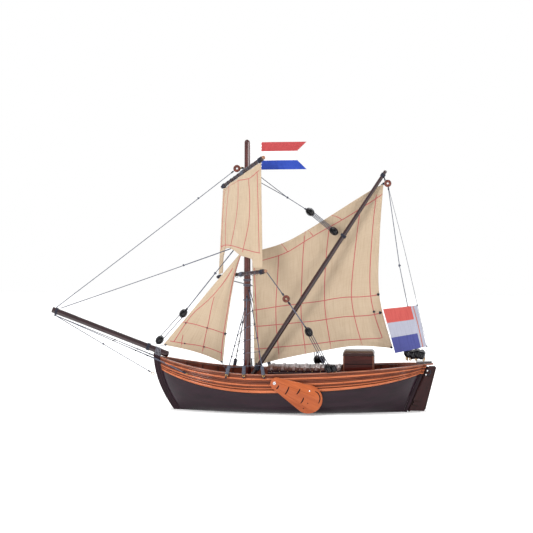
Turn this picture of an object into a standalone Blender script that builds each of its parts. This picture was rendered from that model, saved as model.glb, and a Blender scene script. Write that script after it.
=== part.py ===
"""Display model of a sprit-rigged Dutch sailing barge, about 0.6 m long.

Units are metres and +Z is up.  The origin is on the flat bottom of the hull, under the mast.
+X runs to the stern and -Y is the port side.
"""
import math

import bmesh
import bpy
from mathutils import Matrix, Vector

# ---- Driving dimensions -----------------------------------------------------------------------
GAP = 0.0003                # play left between pieces that touch

# Hull
STEM_X = -0.147             # fore edge of the stem at its head
STEM_RAKE = 0.032           # how far the stem curves aft down to the bottom
STEM_TOP = 0.0875
STEM_SIDING = 0.0105        # fore-and-aft width of the stem
POST_X = 0.2425             # fore edge of the sternpost at the bottom
POST_SIDING = 0.006
POST_RAKE = 0.42            # aft travel of the sternpost for each unit of height
POST_HALF = 0.0045          # half the thickness of the stem and the sternpost
BEAM_X = 0.060              # station of the widest beam
BEAM_HALF = 0.057
STEM_END_HALF = 0.005       # half breadth where the planks reach the stem
POST_END_HALF = 0.0078      # half breadth where the planks reach the sternpost
FLAT_HALF = 0.030           # half width of the flat bottom
SHEER_LOW = 0.0618          # lowest height of the rail
SHEER_X = 0.020
SHEER_FORE = 0.86           # rise of the rail forward, per metre squared
SHEER_AFT = 0.104           # rise of the rail aft, per metre to the power 1.5
RAIL_HEIGHT = 0.0022
RAIL_OUT = 0.0012           # overhang of the cap rail outside the planks
STRAKE_DEPTH = 0.0268       # depth of the light strakes amidships
SHELL = 0.003               # thickness of the planking
DECK_DROP = 0.0145          # deck surface below the rail
DECK_THICK = 0.002
STATION_HEIGHT = 0.075      # height at which a station's x is read for the plan curves

# Houses and hatches
HATCH = (0.034, 0.147, 0.0275)      # fore end, aft end, half width
HATCH_EAVES = 0.0655
HATCH_CROWN = 0.0725
HOUSE = (0.151, 0.197, 0.027)
HOUSE_EAVES = 0.0890
HOUSE_CROWN = 0.0962
WALL = 0.0022

# Spars: (fore or lower end, aft or upper end, radius at each end)
MAST_STEP_TOP = 0.0115
MAST_TOP = 0.421
MAST_RADIUS = (0.0063, 0.0042)
BOWSPRIT = (Vector((-0.308, 0.0, 0.1545)), Vector((-0.1235, 0.0, 0.0852)), 0.0047, 0.0052)
SPRIT = (Vector((0.010, -0.0125, 0.057)), Vector((0.215, -0.008, 0.373)), 0.0037, 0.0027)
TOP_YARD = (Vector((-0.042, 0.025, 0.347)), Vector((0.0295, -0.040, 0.393)), 0.0029, 0.0032)
LOWER_YARD = (Vector((-0.050, 0.030, 0.2055)), Vector((0.033, -0.042, 0.219)), 0.0026, 0.0030)

# Rudder and its raked hinge line, aft of the post
HINGE_OFFSET = 0.0024
RUDDER_HALF = 0.003
RUDDER_FOOT = 0.0015
RUDDER_HEAD = 0.0712
RUDDER_CHORD = (0.0235, 0.0125)     # chord at the foot and at the head
PIN_HEIGHTS = (0.014, 0.060)
PIN_RADIUS = 0.00075
PIN_LENGTH = 0.0085
NOTCH = (0.0032, 0.0062)            # depth and height of the rudder's hinge notches

# Leeboards: two round ends joined by straight sides, as (x, z, radius)
LEE_HEAD = (0.051, 0.0485, 0.0098)
LEE_FOOT = (0.0988, 0.0255, 0.0220)
LEE_INNER_Y = 0.0602
LEE_THICK = 0.0030
LEE_PIVOT = (0.0476, 0.0495)
LEE_PIN = 0.0012

# Cloth
CLOTH = 0.0008
THROAT = Vector((0.0078, 0.0, 0.2465))
PEAK = Vector((0.2105, -0.0035, 0.352))
TACK = Vector((0.0112, 0.0, 0.0685))
CLEW = Vector((0.226, 0.003, 0.098))
MAIN_BELLY = 0.009
STAY_TACK = Vector((-0.132, 0.0, 0.1005))
STAY_HEAD = Vector((-0.0085, -0.0065, 0.246))
STAY_CLEW = Vector((-0.0385, -0.002, 0.0735))
TOPSAIL_BELLY = 0.010

# Rigging
ROPE = 0.0006
THREAD = 0.00045
INTO = 0.0035               # where a line starts inside the block that it is joined to
SHROUD_FEET = (-0.027, 0.0, 0.031)
SHROUD_HEADS = (0.172, 0.195, 0.203)
SHROUD_FOOT_Z = 0.0585
RATLINES = 5
BLOCK = (0.0052, 0.0040, 0.0032)    # half length, half width and half thickness of a block
RING = (0.0036, 0.0013)             # ring radius and its round section
MAST_RING = Vector((-0.016, 0.0, 0.376))
PEAK_RING = Vector((0.2175, -0.004, 0.353))
STAY_BLOCK_LOW = Vector((-0.138, 0.0, 0.108))
STAY_BLOCK_HIGH = Vector((-0.1005, 0.0, 0.150))
BRACE_RING = Vector((0.064, -0.044, 0.177))
BRACE_HIGH = Vector((0.099, -0.050, 0.127))
BRACE_LOW = Vector((0.129, -0.054, 0.0715))
STARBOARD_BRACE_LOW = Vector((0.106, 0.054, 0.0730))
SPAN_BLOCK = Vector((0.098, -0.004, 0.309))
SPRIT_BLOCK = Vector((0.135, -0.0085, 0.2795))
VANG_KNOT = Vector((0.236, -0.001, 0.2265))
VANG_BLOCK = Vector((0.264, -0.009, 0.0905))
BOW_EYE = Vector((-0.090, -0.0405, 0.060))
BOW_CORNER = Vector((-0.1335, -0.0145, 0.0755))
STEM_EYE = Vector((-0.1480, 0.0, 0.055))


# ---- Materials ----------------------------------------------------------------------------------
def material(name, colour, roughness, metallic=0.0):
    """A Principled material with one colour."""
    made = bpy.data.materials.new(name)
    made.use_nodes = True
    shader = made.node_tree.nodes["Principled BSDF"]
    shader.inputs["Base Color"].default_value = (*colour, 1.0)
    shader.inputs["Roughness"].default_value = roughness
    shader.inputs["Metallic"].default_value = metallic
    made.diffuse_color = (*colour, 1.0)
    return made


def make_materials():
    """Every material of the model, by name."""
    return {
        "hull": material("dark_hull", (0.042, 0.026, 0.033), 0.35),
        "plank": material("warm_plank", (0.45, 0.15, 0.055), 0.4),
        "brown": material("brown_wood", (0.12, 0.035, 0.022), 0.4),
        "spar": material("dark_spar", (0.045, 0.021, 0.023), 0.35),
        "mast": material("red_brown_mast", (0.13, 0.03, 0.014), 0.35),
        "sail": material("linen", (0.57, 0.44, 0.30), 0.9),
        "rope": material("grey_rope", (0.11, 0.12, 0.15), 0.85),
        "block": material("black_block", (0.012, 0.012, 0.018), 0.25),
        "ring": material("ring_wood", (0.11, 0.025, 0.018), 0.3),
        "pin": material("silver_pin", (0.7, 0.7, 0.7), 0.25, 1.0),
        "flag": material("flag_cloth", (0.6, 0.6, 0.66), 0.9),
    }


# ---- Mesh helpers -------------------------------------------------------------------------------
def add_object(name, data, surface):
    """Links a new object with its material."""
    made = bpy.data.objects.new(name, data)
    bpy.context.collection.objects.link(made)
    if surface:
        data.materials.append(surface)
    return made


def add_mesh(name, points, faces, surface, smooth=None):
    """A closed mesh object whose faces point outwards."""
    mesh = bpy.data.meshes.new(name)
    mesh.from_pydata([tuple(point) for point in points], [], faces)
    shape = bmesh.new()
    shape.from_mesh(mesh)
    bmesh.ops.recalc_face_normals(shape, faces=shape.faces)
    shape.to_mesh(mesh)
    shape.free()
    if smooth:
        mesh.shade_smooth()
        mesh.set_sharp_from_angle(angle=math.radians(smooth))
    return add_object(name, mesh, surface)


def loft(name, rings, surface, smooth=35):
    """A closed solid through rings with the same number of points."""
    count = len(rings[0])
    points = [point for ring in rings for point in ring]
    faces = [tuple(range(count)), tuple(range(len(points) - count, len(points)))]
    for ring in range(len(rings) - 1):
        low, high = ring * count, (ring + 1) * count
        for side in range(count):
            after = (side + 1) % count
            faces.append((low + side, low + after, high + after, high + side))
    return add_mesh(name, points, faces, surface, smooth)


def box(name, low, high, surface):
    """An upright block between two corners."""
    rings = [[(x, low[1], low[2]), (x, high[1], low[2]), (x, high[1], high[2]), (x, low[1], high[2])]
             for x in (low[0], high[0])]
    return loft(name, rings, surface, None)


def extrude_outline(name, outline, low_y, high_y, surface):
    """A plate whose outline lies in the XZ plane."""
    rings = [[(x, y, z) for x, z in outline] for y in (low_y, high_y)]
    return loft(name, rings, surface)


def frame_along(direction):
    """Two unit vectors square to a direction."""
    along = direction.normalized()
    helper = Vector((0, 0, 1)) if abs(along.z) < 0.9 else Vector((1, 0, 0))
    side = along.cross(helper).normalized()
    return side, along.cross(side)


def spar(name, start, end, radii, surface, sides=14, round_end=0.0):
    """A round tapered pole; radii are spread evenly along it, and its end may be rounded."""
    direction = end - start
    side, other = frame_along(direction)
    stops = [(index / (len(radii) - 1), radius) for index, radius in enumerate(radii)]
    if round_end:
        fraction = round_end / direction.length
        last = radii[-1]
        stops[-1] = (1.0 - fraction, last)
        stops += [(1.0 - fraction + fraction * math.sin(angle), last * math.cos(angle))
                  for angle in (0.6, 1.15)]
    rings = []
    for place, radius in stops:
        centre = start + direction * place
        rings.append([centre + radius * (side * math.cos(turn) + other * math.sin(turn))
                      for turn in (math.tau * step / sides for step in range(sides))])
    return loft(name, rings, surface)


def rod(name, start, end, radius, surface, sides=6):
    """A straight round piece of even thickness."""
    return spar(name, start, end, (radius, radius), surface, sides)


def rope(name, route, radius, surface):
    """A tube with closed ends along a route."""
    curve = bpy.data.curves.new(name, "CURVE")
    curve.dimensions = "3D"
    curve.bevel_depth = radius
    curve.bevel_resolution = 1
    curve.use_fill_caps = True
    line = curve.splines.new("POLY")
    line.points.add(len(route) - 1)
    for point, place in zip(line.points, route):
        point.co = (*place, 1.0)
    return add_object(name, curve, surface)


def fuse(pieces):
    """Joins overlapping pieces into the first of them."""
    body = pieces[0]
    for piece in pieces[1:]:
        join = body.modifiers.new("Join", "BOOLEAN")
        join.operation = "UNION"
        join.object = piece
        piece.hide_render = True
        piece.display_type = "WIRE"
    return body


def cut(body, cutter):
    """Cuts a shape out of a body."""
    opening = body.modifiers.new("Opening", "BOOLEAN")
    opening.operation = "DIFFERENCE"
    opening.object = cutter
    cutter.hide_render = True
    cutter.display_type = "WIRE"


def span(start, end, leave_start, leave_end):
    """The ends of a line that stops short of both of its points."""
    along = (end - start).normalized()
    return start + along * leave_start, end - along * leave_end


def line_between(name, start, end, leave_start, leave_end, radius, surface):
    """A rope between two fittings, kept clear of both."""
    return rod(name, *span(start, end, leave_start, leave_end), radius, surface)


def to_mast(start, height):
    """Where a line from a point to the mast's axis at a height meets the mast's side."""
    head = Vector((0.0, 0.0, height))
    part = height / MAST_TOP
    radius = MAST_RADIUS[0] * (1 - part) + MAST_RADIUS[1] * part
    outward = (start - head).to_2d().length
    return head.lerp(start, (radius + ROPE * 1.6 + GAP) / outward)


def curve_through(points, count):
    """Evenly stepped points of a smooth curve through a few given points."""
    route = []
    last = len(points) - 1
    for step in range(count + 1):
        place = last * step / count
        index = min(int(place), last - 1)
        part = place - index
        before = points[max(index - 1, 0)]
        start, end = points[index], points[index + 1]
        after = points[min(index + 2, last)]
        route.append(0.5 * (2 * start + (end - before) * part
                            + (2 * before - 5 * start + 4 * end - after) * part ** 2
                            + (3 * start - before - 3 * end + after) * part ** 3))
    return route


def curve_point(points, part):
    """One point of the smooth curve through a few given points."""
    steps = 24
    route = curve_through(points, steps)
    index = min(int(part * steps), steps - 1)
    return route[index].lerp(route[index + 1], part * steps - index)


def mirrored(point):
    """The same place on the other side of the boat."""
    return Vector((point.x, -point.y, point.z))


# ---- Hull form ----------------------------------------------------------------------------------
def stem_edge(z):
    """x of the stem's outer edge at a height."""
    return STEM_X + STEM_RAKE * (1 - z / STEM_TOP) ** 2


def station_x(part, z):
    """x of a station, from 0 at the stem to 1 at the sternpost."""
    fore = stem_edge(z) + STEM_SIDING
    aft = POST_X + POST_RAKE * z
    return fore + (aft - fore) * part


def reach(part):
    """How far a station is from the widest beam: 0 there, 1 at either end of the boat."""
    x = station_x(part, STATION_HEIGHT)
    end = station_x(0.0 if x < BEAM_X else 1.0, STATION_HEIGHT)
    return min(1.0, (x - BEAM_X) / (end - BEAM_X))


def is_fore(part):
    return station_x(part, STATION_HEIGHT) < BEAM_X


def half_beam(part):
    """Half breadth of the hull at the strakes."""
    if is_fore(part):
        return STEM_END_HALF + (BEAM_HALF - STEM_END_HALF) * (1 - reach(part) ** 2.2) ** 0.7
    return POST_END_HALF + (BEAM_HALF - POST_END_HALF) * (1 - reach(part) ** 3) ** 0.65


def sheer(x):
    """Height of the rail's top."""
    if x < SHEER_X:
        return SHEER_LOW + SHEER_FORE * (SHEER_X - x) ** 2
    return SHEER_LOW + SHEER_AFT * (x - SHEER_X) ** 1.5


def rail_z(part):
    return sheer(station_x(part, STATION_HEIGHT))


def strake_foot(part):
    """Height of the lower edge of the light strakes."""
    narrowing = (0.3 if is_fore(part) else 0.5) * reach(part) ** 4
    return rail_z(part) - RAIL_HEIGHT - STRAKE_DEPTH * (1 - narrowing)


def stations(count, first=0.0, last=1.0):
    """Stations crowded towards the ends, where the hull curves most."""
    return [first + (last - first) * (1 - math.cos(math.pi * step / count)) / 2
            for step in range(count + 1)]


def wall(part):
    """Planking thickness measured across the boat, greater where the bow turns in."""
    return SHELL * (1 + reach(part) ** 4)


def bilge(part, inset, floor, top, steps=8):
    """One side of a hull section from the top down to the bottom, as (half breadth, z)."""
    spread = reach(part)
    end_half = POST_HALF + (FLAT_HALF - POST_HALF) * (1 - spread ** 1.6)
    side = max(half_beam(part) - inset, 0.0012)
    flat = min(max(end_half - inset, 0.0008), side)
    power = 2 / (2.4 - (0.5 if is_fore(part) else 1.25) * spread ** 2)
    places = []
    for step in range(steps + 1):
        turn = math.pi / 2 * step / steps
        breadth = flat + (side - flat) * abs(math.cos(turn)) ** power
        places.append((breadth, floor + (top - floor) * (1 - math.sin(turn) ** power)))
    return places


def slice_rings(parts, inset, floor, margin, upstand=0.0):
    """Section rings that follow the hull from a floor to a margin below the strakes.

    An upstand carries the sides straight up from there.
    """
    rings = []
    for part in parts:
        top = strake_foot(part) - margin
        half = bilge(part, inset(part), floor, top)
        if upstand:
            half.insert(0, (half[0][0], top + upstand))
        near = [Vector((station_x(part, z), -y, z)) for y, z in half]
        far = [Vector((station_x(part, z), y, z)) for y, z in reversed(half)]
        rings.append(near + far)
    return rings


def hull_solid(name, rings, surface):
    """A hull-shaped solid; its two ends are closed with level strips."""
    count = len(rings[0])
    points = [point for ring in rings for point in ring]
    faces = []
    for ring in range(len(rings) - 1):
        low, high = ring * count, (ring + 1) * count
        for side in range(count):
            after = (side + 1) % count
            faces.append((low + side, low + after, high + after, high + side))
    for first in (0, len(points) - count):
        for level in range(count // 2 - 1):
            faces.append((first + level, first + level + 1,
                          first + count - 2 - level, first + count - 1 - level))
    return add_mesh(name, points, faces, surface, 35)


def make_hull_shell(paint):
    """The dark lower hull, hollow and open at the top."""
    shell = hull_solid("hull_shell", slice_rings(stations(34), lambda part: 0.0, 0.0, GAP),
                       paint["hull"])
    hold = hull_solid("hold_cutter", slice_rings(stations(34, 0.035, 0.955), wall, SHELL, GAP, 0.02),
                      None)
    cut(shell, hold)


def make_strakes(paint):
    """The light planking above the lower hull, one band to each side."""
    profile = ((0.00, 0.0004), (0.20, 0.0010), (0.22, 0.0002), (0.42, 0.0002), (0.44, 0.0012),
               (0.64, 0.0012), (0.66, 0.0), (1.00, 0.0))
    for name, side in (("port_strakes", -1), ("starboard_strakes", 1)):
        rings = []
        for part in [*stations(34), None]:
            lap = POST_SIDING - 0.0005 if part is None else 0.0
            part = 1.0 if part is None else part
            foot, head = strake_foot(part), rail_z(part) - RAIL_HEIGHT - GAP
            clear = 0.0008 if is_fore(part) else POST_HALF + GAP
            inner = max(half_beam(part) - wall(part), clear)
            ring = []
            for level, proud in profile:
                z = foot + (head - foot) * level
                ring.append(Vector((station_x(part, z) + lap, side * (half_beam(part) + proud), z)))
            for z in (head, foot):
                ring.append(Vector((station_x(part, z) + lap, side * inner, z)))
            rings.append(ring)
        loft(name, rings, paint["plank"])


def make_cap_rails(paint):
    """A flat rail on top of the strakes, carried aft over the head of the rudder."""
    overhang = ((0.004, 0.0085), (0.010, 0.0072), (0.0148, 0.0046))
    for name, side in (("port_cap_rail", -1), ("starboard_cap_rail", 1)):
        rings = []
        for part in stations(30):
            z = rail_z(part)
            outer = half_beam(part) + RAIL_OUT
            inner = max(half_beam(part) - wall(part) - 0.0006, 0.0008)
            x = station_x(part, z)
            rings.append([(x, side * outer, z - RAIL_HEIGHT), (x, side * outer, z),
                          (x, side * inner, z), (x, side * inner, z - RAIL_HEIGHT)])
        end_x, end_z = x, z
        for shift, outer in overhang:
            z = end_z + shift * 0.05
            rings.append([(end_x + shift, side * outer, z - RAIL_HEIGHT),
                          (end_x + shift, side * outer, z),
                          (end_x + shift, side * 0.0008, z),
                          (end_x + shift, side * 0.0008, z - RAIL_HEIGHT)])
        loft(name, rings, paint["plank"])


def make_taffrail(paint):
    """The dark bar that lies over both rails at the stern."""
    z = rail_z(1.0) + 0.0004 + 0.0007
    places = ((0.2625, 0.0165), (0.270, 0.0110), (0.279, 0.0078), (0.2865, 0.0060))
    rings = [[(x, -half, z), (x, half, z), (x, half, z + 0.0026), (x, -half, z + 0.0026)]
             for x, half in places]
    loft("taffrail", rings, paint["spar"])


def make_stem_and_post(paint):
    """The two end posts of the hull."""
    def bowsprit_foot(x):
        low, high = BOWSPRIT[1], BOWSPRIT[0]
        slope = (high.z - low.z) / (high.x - low.x)
        return low.z + slope * (x - low.x) - BOWSPRIT[3] * math.sqrt(1 + slope ** 2) - 2 * GAP

    heights = [STEM_TOP * step / 9 for step in range(9)]
    outer = [(stem_edge(z), z) for z in heights] + [(STEM_X, bowsprit_foot(STEM_X))]
    inner_top = STEM_X + STEM_SIDING - GAP
    inner = [(inner_top, bowsprit_foot(inner_top))]
    inner += [(stem_edge(z) + STEM_SIDING - GAP, z) for z in reversed(heights)]
    extrude_outline("stem_post", outer + inner, -POST_HALF, POST_HALF, paint["hull"])

    top = rail_z(1.0) - RAIL_HEIGHT - GAP
    fore, aft = POST_X + GAP, POST_X + POST_SIDING
    outline = [(fore, 0), (aft, 0), (aft + POST_RAKE * top, top), (fore + POST_RAKE * top, top)]
    extrude_outline("stern_post", outline, -POST_HALF, POST_HALF, paint["hull"])


def deck_top(x):
    """A level just clear of the deck everywhere ahead of x."""
    shift = POST_RAKE * (STATION_HEIGHT - sheer(x) + DECK_DROP)
    return sheer(x + shift) - DECK_DROP + GAP


def make_deck(paint):
    """The sunken deck, with holes for the mast and the hold."""
    rings = []
    for part in stations(26, 0.03, 0.965):
        z = rail_z(part) - DECK_DROP
        half = half_beam(part) - wall(part) - 0.0009
        x = station_x(part, z)
        rings.append([(x, -half, z - DECK_THICK), (x, half, z - DECK_THICK), (x, half, z),
                      (x, -half, z)])
    deck = loft("deck", rings, paint["brown"])
    cut(deck, rod("mast_hole_cutter", Vector((0, 0, 0.03)), Vector((0, 0, 0.07)), 0.0070, None, 16))
    fore, aft, half = HATCH
    cut(deck, box("hold_opening_cutter", (fore + 0.004, 0.004 - half, 0.03),
                  (aft - 0.004, half - 0.004, 0.06), None))


def make_inner_frames(paint):
    """What the hull holds inside: the mast step and two bulkheads."""
    floor = SHELL + GAP
    box("mast_step", (-0.018, -0.010, floor), (0.018, 0.010, MAST_STEP_TOP), paint["brown"])
    for name, part in (("forward_bulkhead", 0.22), ("after_bulkhead", 0.835)):
        rings = slice_rings([part - 0.003, part + 0.003], lambda place: wall(place) + 0.0009, floor,
                            0.001)
        hull_solid(name, rings, paint["brown"])


def barrel(name, fore, aft, half, low, eaves, crown, thick, surface, steps=10):
    """A roof arched across the boat; with no thickness given it is solid down to low."""
    def arch(lift, reach_out):
        return [(reach_out * math.sin(turn), lift + (crown - eaves) * math.cos(turn))
                for turn in (-math.pi / 2 + math.pi * step / steps for step in range(steps + 1))]

    outline = arch(eaves, half)
    outline += [(y, z) for y, z in reversed(arch(eaves - thick, half))] if thick else [
        (half, low), (-half, low)]
    rings = [[(x, y, z) for y, z in outline] for x in (fore, aft)]
    return loft(name, rings, surface)


def make_hatch(paint):
    """The coaming round the hold and its arched cover with cross battens."""
    fore, aft, half = HATCH
    low = deck_top(aft)
    coaming = box("hatch_coaming", (fore, -half, low), (aft, half, HATCH_EAVES - 2 * GAP),
                  paint["spar"])
    cut(coaming, box("coaming_cutter", (fore + WALL, WALL - half, 0.04),
                     (aft - WALL, half - WALL, 0.08), None))
    cover = barrel("hatch_cover", fore - 0.001, aft + 0.001, half + 0.001, HATCH_EAVES - GAP,
                   HATCH_EAVES + 0.0015, HATCH_CROWN - 0.001, 0.0, paint["brown"])
    spacing = 0.0172
    battens = [barrel("batten_%d" % index, x, x + 0.004, half + 0.0016, HATCH_EAVES,
                      HATCH_EAVES + 0.0021, HATCH_CROWN, 0.0, None)
               for index, x in enumerate(fore + 0.004 + spacing * step for step in range(7))]
    fuse([cover, *battens])


def make_deckhouse(paint):
    """A small cabin with a barrel roof."""
    fore, aft, half = HOUSE
    low = deck_top(aft)
    walls = box("deckhouse", (fore, -half, low), (aft, half, HOUSE_EAVES - 2 * GAP), paint["brown"])
    cut(walls, box("deckhouse_cutter", (fore + WALL, WALL - half, 0.04),
                   (aft - WALL, half - WALL, 0.12), None))
    barrel("deckhouse_roof", fore - 0.0015, aft + 0.0015, half + 0.0015, 0, HOUSE_EAVES + 0.0025,
           HOUSE_CROWN, 0.0025, paint["spar"])


def make_hull(paint):
    make_hull_shell(paint)
    make_strakes(paint)
    make_cap_rails(paint)
    make_taffrail(paint)
    make_stem_and_post(paint)
    make_deck(paint)
    make_inner_frames(paint)
    make_hatch(paint)
    make_deckhouse(paint)


# ---- Rudder and leeboards -----------------------------------------------------------------------
def hinge_x(z):
    """x of the rudder's hinge line at a height."""
    return POST_X + POST_SIDING + HINGE_OFFSET + POST_RAKE * z


def make_rudder(paint):
    """The rudder blade, its two hinge pins and the eyes on the post that they turn in."""
    fore = 0.0013
    rake = Vector((POST_RAKE, 0, 1)).normalized()
    aft_direction = Vector((rake.z, 0, -rake.x))
    outline = [(hinge_x(RUDDER_FOOT) + fore, RUDDER_FOOT)]
    corner = hinge_x(RUDDER_FOOT) + RUDDER_CHORD[0]
    outline += [(corner, RUDDER_FOOT), (corner + 0.0022, RUDDER_FOOT + 0.0035)]
    head = hinge_x(RUDDER_HEAD) + RUDDER_CHORD[1]
    outline += [(head, RUDDER_HEAD - 0.0025), (head - 0.002, RUDDER_HEAD)]
    outline += [(hinge_x(RUDDER_HEAD) + fore, RUDDER_HEAD)]
    blade = extrude_outline("rudder", outline, -RUDDER_HALF, RUDDER_HALF, paint["hull"])
    for index, height in enumerate(PIN_HEIGHTS):
        place = Vector((hinge_x(height), 0, height))
        depth, tall = NOTCH
        middle = place + aft_direction * (fore + depth / 2 - 0.001)
        notch = box("notch_cutter_%d" % index, (-depth / 2 - 0.001, -0.01, -tall / 2),
                    (depth / 2 + 0.001, 0.01, tall / 2), None)
        notch.matrix_world = Matrix.Translation(middle) @ Matrix.Rotation(
            math.atan(POST_RAKE), 4, "Y")
        cut(blade, notch)

        label = ("lower", "upper")[index]
        bottom, top = place - rake * PIN_LENGTH / 2, place + rake * PIN_LENGTH / 2
        pin = rod("%s_rudder_pin" % label, bottom, top, PIN_RADIUS, paint["pin"], 10)
        head_piece = rod("pin_head_%d" % index, top - rake * 0.0003, top + rake * 0.0009,
                         0.0011, None, 10)
        fuse([pin, head_piece])
        eye = rod("%s_rudder_eye" % label, place - rake * 0.0009, place + rake * 0.0009, 0.0018,
                  paint["pin"], 12)
        bore = rod("eye_bore_%d" % index, place - rake * 0.002, place + rake * 0.002,
                   PIN_RADIUS + GAP, None, 12)
        cut(eye, bore)


def lee_outline():
    """Two arcs joined by the straight lines that touch both."""
    (x0, z0, r0), (x1, z1, r1) = LEE_HEAD, LEE_FOOT
    heading = math.atan2(z1 - z0, x1 - x0)
    lean = math.acos((r0 - r1) / math.hypot(x1 - x0, z1 - z0))
    outline = []
    for step in range(9):
        turn = heading + lean + (math.tau - 2 * lean) * step / 8
        outline.append((x0 + r0 * math.cos(turn), z0 + r0 * math.sin(turn)))
    for step in range(15):
        turn = heading - lean + 2 * lean * step / 14
        outline.append((x1 + r1 * math.cos(turn), z1 + r1 * math.sin(turn)))
    return outline


def make_leeboards(paint):
    """A leeboard on each side and its pivot pin in the hull."""
    outline = lee_outline()
    for name, side in (("port", -1), ("starboard", 1)):
        ends = sorted((side * LEE_INNER_Y, side * (LEE_INNER_Y + LEE_THICK)))
        board = extrude_outline("%s_leeboard" % name, outline, *ends, paint["plank"])
        x, z = LEE_PIVOT
        inner = Vector((x, side * 0.0588, z))
        outer = Vector((x, side * (LEE_INNER_Y + LEE_THICK + 2 * GAP), z))
        bore = rod("%s_pivot_bore" % name, Vector((x, side * 0.055, z)),
                   Vector((x, side * 0.07, z)), LEE_PIN + GAP, None, 12)
        cut(board, bore)
        pin = rod("%s_leeboard_pivot" % name, inner, outer + Vector((0, side * 0.0002, 0)),
                  LEE_PIN, paint["pin"], 12)
        cap = spar("%s_pivot_cap" % name, outer, outer + Vector((0, side * 0.0012, 0)),
                   (0.0021, 0.0021, 0.0012), None, 12)
        fuse([pin, cap])


# ---- Spars --------------------------------------------------------------------------------------
def make_spars(paint):
    spar("mast", Vector((0, 0, MAST_STEP_TOP + GAP)), Vector((0, 0, MAST_TOP)), MAST_RADIUS,
         paint["mast"], 18, 0.004)
    spar("bowsprit", *BOWSPRIT[:2], BOWSPRIT[2:], paint["spar"], 16, 0.003)
    spar("sprit", *SPRIT[:2], (SPRIT[2], 0.0039, SPRIT[3]), paint["spar"], 14, 0.002)
    spar("topsail_yard", *TOP_YARD[:2], TOP_YARD[2:], paint["spar"], 12, 0.001)
    spar("topsail_lower_yard", *LOWER_YARD[:2], LOWER_YARD[2:], paint["spar"], 12, 0.001)


# ---- Sails and flags ----------------------------------------------------------------------------
def sheet(name, place, columns, rows, facing, surface):
    """A thin closed sheet; place gives its middle at (u, v), each from 0 to 1."""
    half = facing.normalized() * CLOTH / 2
    middle = [place(column / columns, row / rows)
              for row in range(rows + 1) for column in range(columns + 1)]
    points = [point - half for point in middle] + [point + half for point in middle]
    wide, other = columns + 1, len(middle)
    faces = []
    for row in range(rows):
        for column in range(columns):
            corner = row * wide + column
            near = (corner, corner + 1, corner + wide + 1, corner + wide)
            faces += [near, tuple(index + other for index in reversed(near))]
    border = [*range(wide), *range(2 * wide - 1, other, wide),
              *range(other - 2, other - wide - 1, -1), *range(other - 2 * wide, 0, -wide)]
    for index, start in enumerate(border):
        after = border[(index + 1) % len(border)]
        faces.append((start, start + other, after + other, after))
    return add_mesh(name, points, faces, surface, 60)


def stretched(top, foot, luff, leech):
    """A surface between four edges: u runs from luff to leech and v from head to foot."""
    def place(u, v):
        across = curve_point(top, u) * (1 - v) + curve_point(foot, u) * v
        down = curve_point(luff, v) * (1 - u) + curve_point(leech, v) * u
        corners = (top[0] * (1 - u) * (1 - v) + top[-1] * u * (1 - v)
                   + foot[0] * (1 - u) * v + foot[-1] * u * v)
        return across + down - corners
    return place


def make_mainsail(paint):
    """The four-sided sail that the sprit holds out."""
    head = [THROAT, Vector((0.052, 0, 0.259)), Vector((0.093, 0, 0.280)),
            Vector((0.183, -0.002, 0.337)), PEAK]
    foot = [TACK, Vector((0.055, 0.001, 0.0805)), Vector((0.113, 0.002, 0.0925)),
            Vector((0.170, 0.003, 0.1012)), CLEW]
    leech = [PEAK, Vector((0.205, -0.002, 0.270)), Vector((0.205, 0, 0.180)), CLEW]
    flat = stretched(head, foot, [THROAT, TACK], leech)

    def place(u, v):
        belly = MAIN_BELLY * math.sin(math.pi * u) * math.sin(math.pi * v) ** 0.8
        return flat(u, v) + Vector((0, belly, 0))
    sheet("mainsail", place, 14, 14, Vector((0, 1, 0)), paint["sail"])


def make_staysail(paint):
    """The three-cornered sail ahead of the mast."""
    leech = [STAY_HEAD, Vector((-0.021, -0.0065, 0.200)), Vector((-0.0325, -0.006, 0.125)),
             STAY_CLEW]
    foot = [STAY_TACK, Vector((-0.100, 0, 0.0945)), Vector((-0.067, -0.001, 0.0855)), STAY_CLEW]

    def place(u, v):
        across = STAY_HEAD.lerp(curve_point(foot, u), v)
        edge = curve_point(leech, v)
        straight = STAY_HEAD.lerp(STAY_CLEW, v)
        belly = 0.005 * math.sin(math.pi * u) * math.sin(math.pi * v)
        return across + (edge - straight) * u + Vector((0, -belly, 0))

    tip = 0.03
    sheet("staysail", lambda u, v: place(u, tip + (1 - tip) * v), 10, 12, Vector((0, 1, 0)),
          paint["sail"])


def make_topsail(paint):
    """The topsail between its two yards; its foot is arched over the stays."""
    outward = Vector((-0.655, -0.755, 0.0))
    drop = Vector((0, 0, 0.0042))
    top_left = TOP_YARD[0].lerp(TOP_YARD[1], 0.03) - drop
    top_right = TOP_YARD[0].lerp(TOP_YARD[1], 0.93) - drop
    foot_left = LOWER_YARD[0].lerp(LOWER_YARD[1], 0.03) + drop
    foot_right = LOWER_YARD[0].lerp(LOWER_YARD[1], 0.93) + drop
    arch = ((0.0, 0.0), (0.11, 0.001), (0.13, 0.026), (0.22, 0.0385), (0.33, 0.0385),
            (0.465, 0.0325), (0.59, 0.0245), (0.82, 0.0168), (0.845, 0.003), (1.0, 0.0022))

    def rise(u):
        for (start, low), (end, high) in zip(arch, arch[1:]):
            if u <= end:
                return low + (high - low) * (u - start) / (end - start)
        return 0.0

    def place(u, v):
        top = top_left.lerp(top_right, u)
        foot = foot_left.lerp(foot_right, u) + Vector((0, 0, rise(u)))
        belly = TOPSAIL_BELLY * math.sin(math.pi * u) ** 0.8 * math.sin(math.pi * (0.08 + 0.62 * v))
        return top.lerp(foot, v) + outward * belly
    sheet("topsail", place, 20, 10, outward, paint["sail"])


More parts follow.
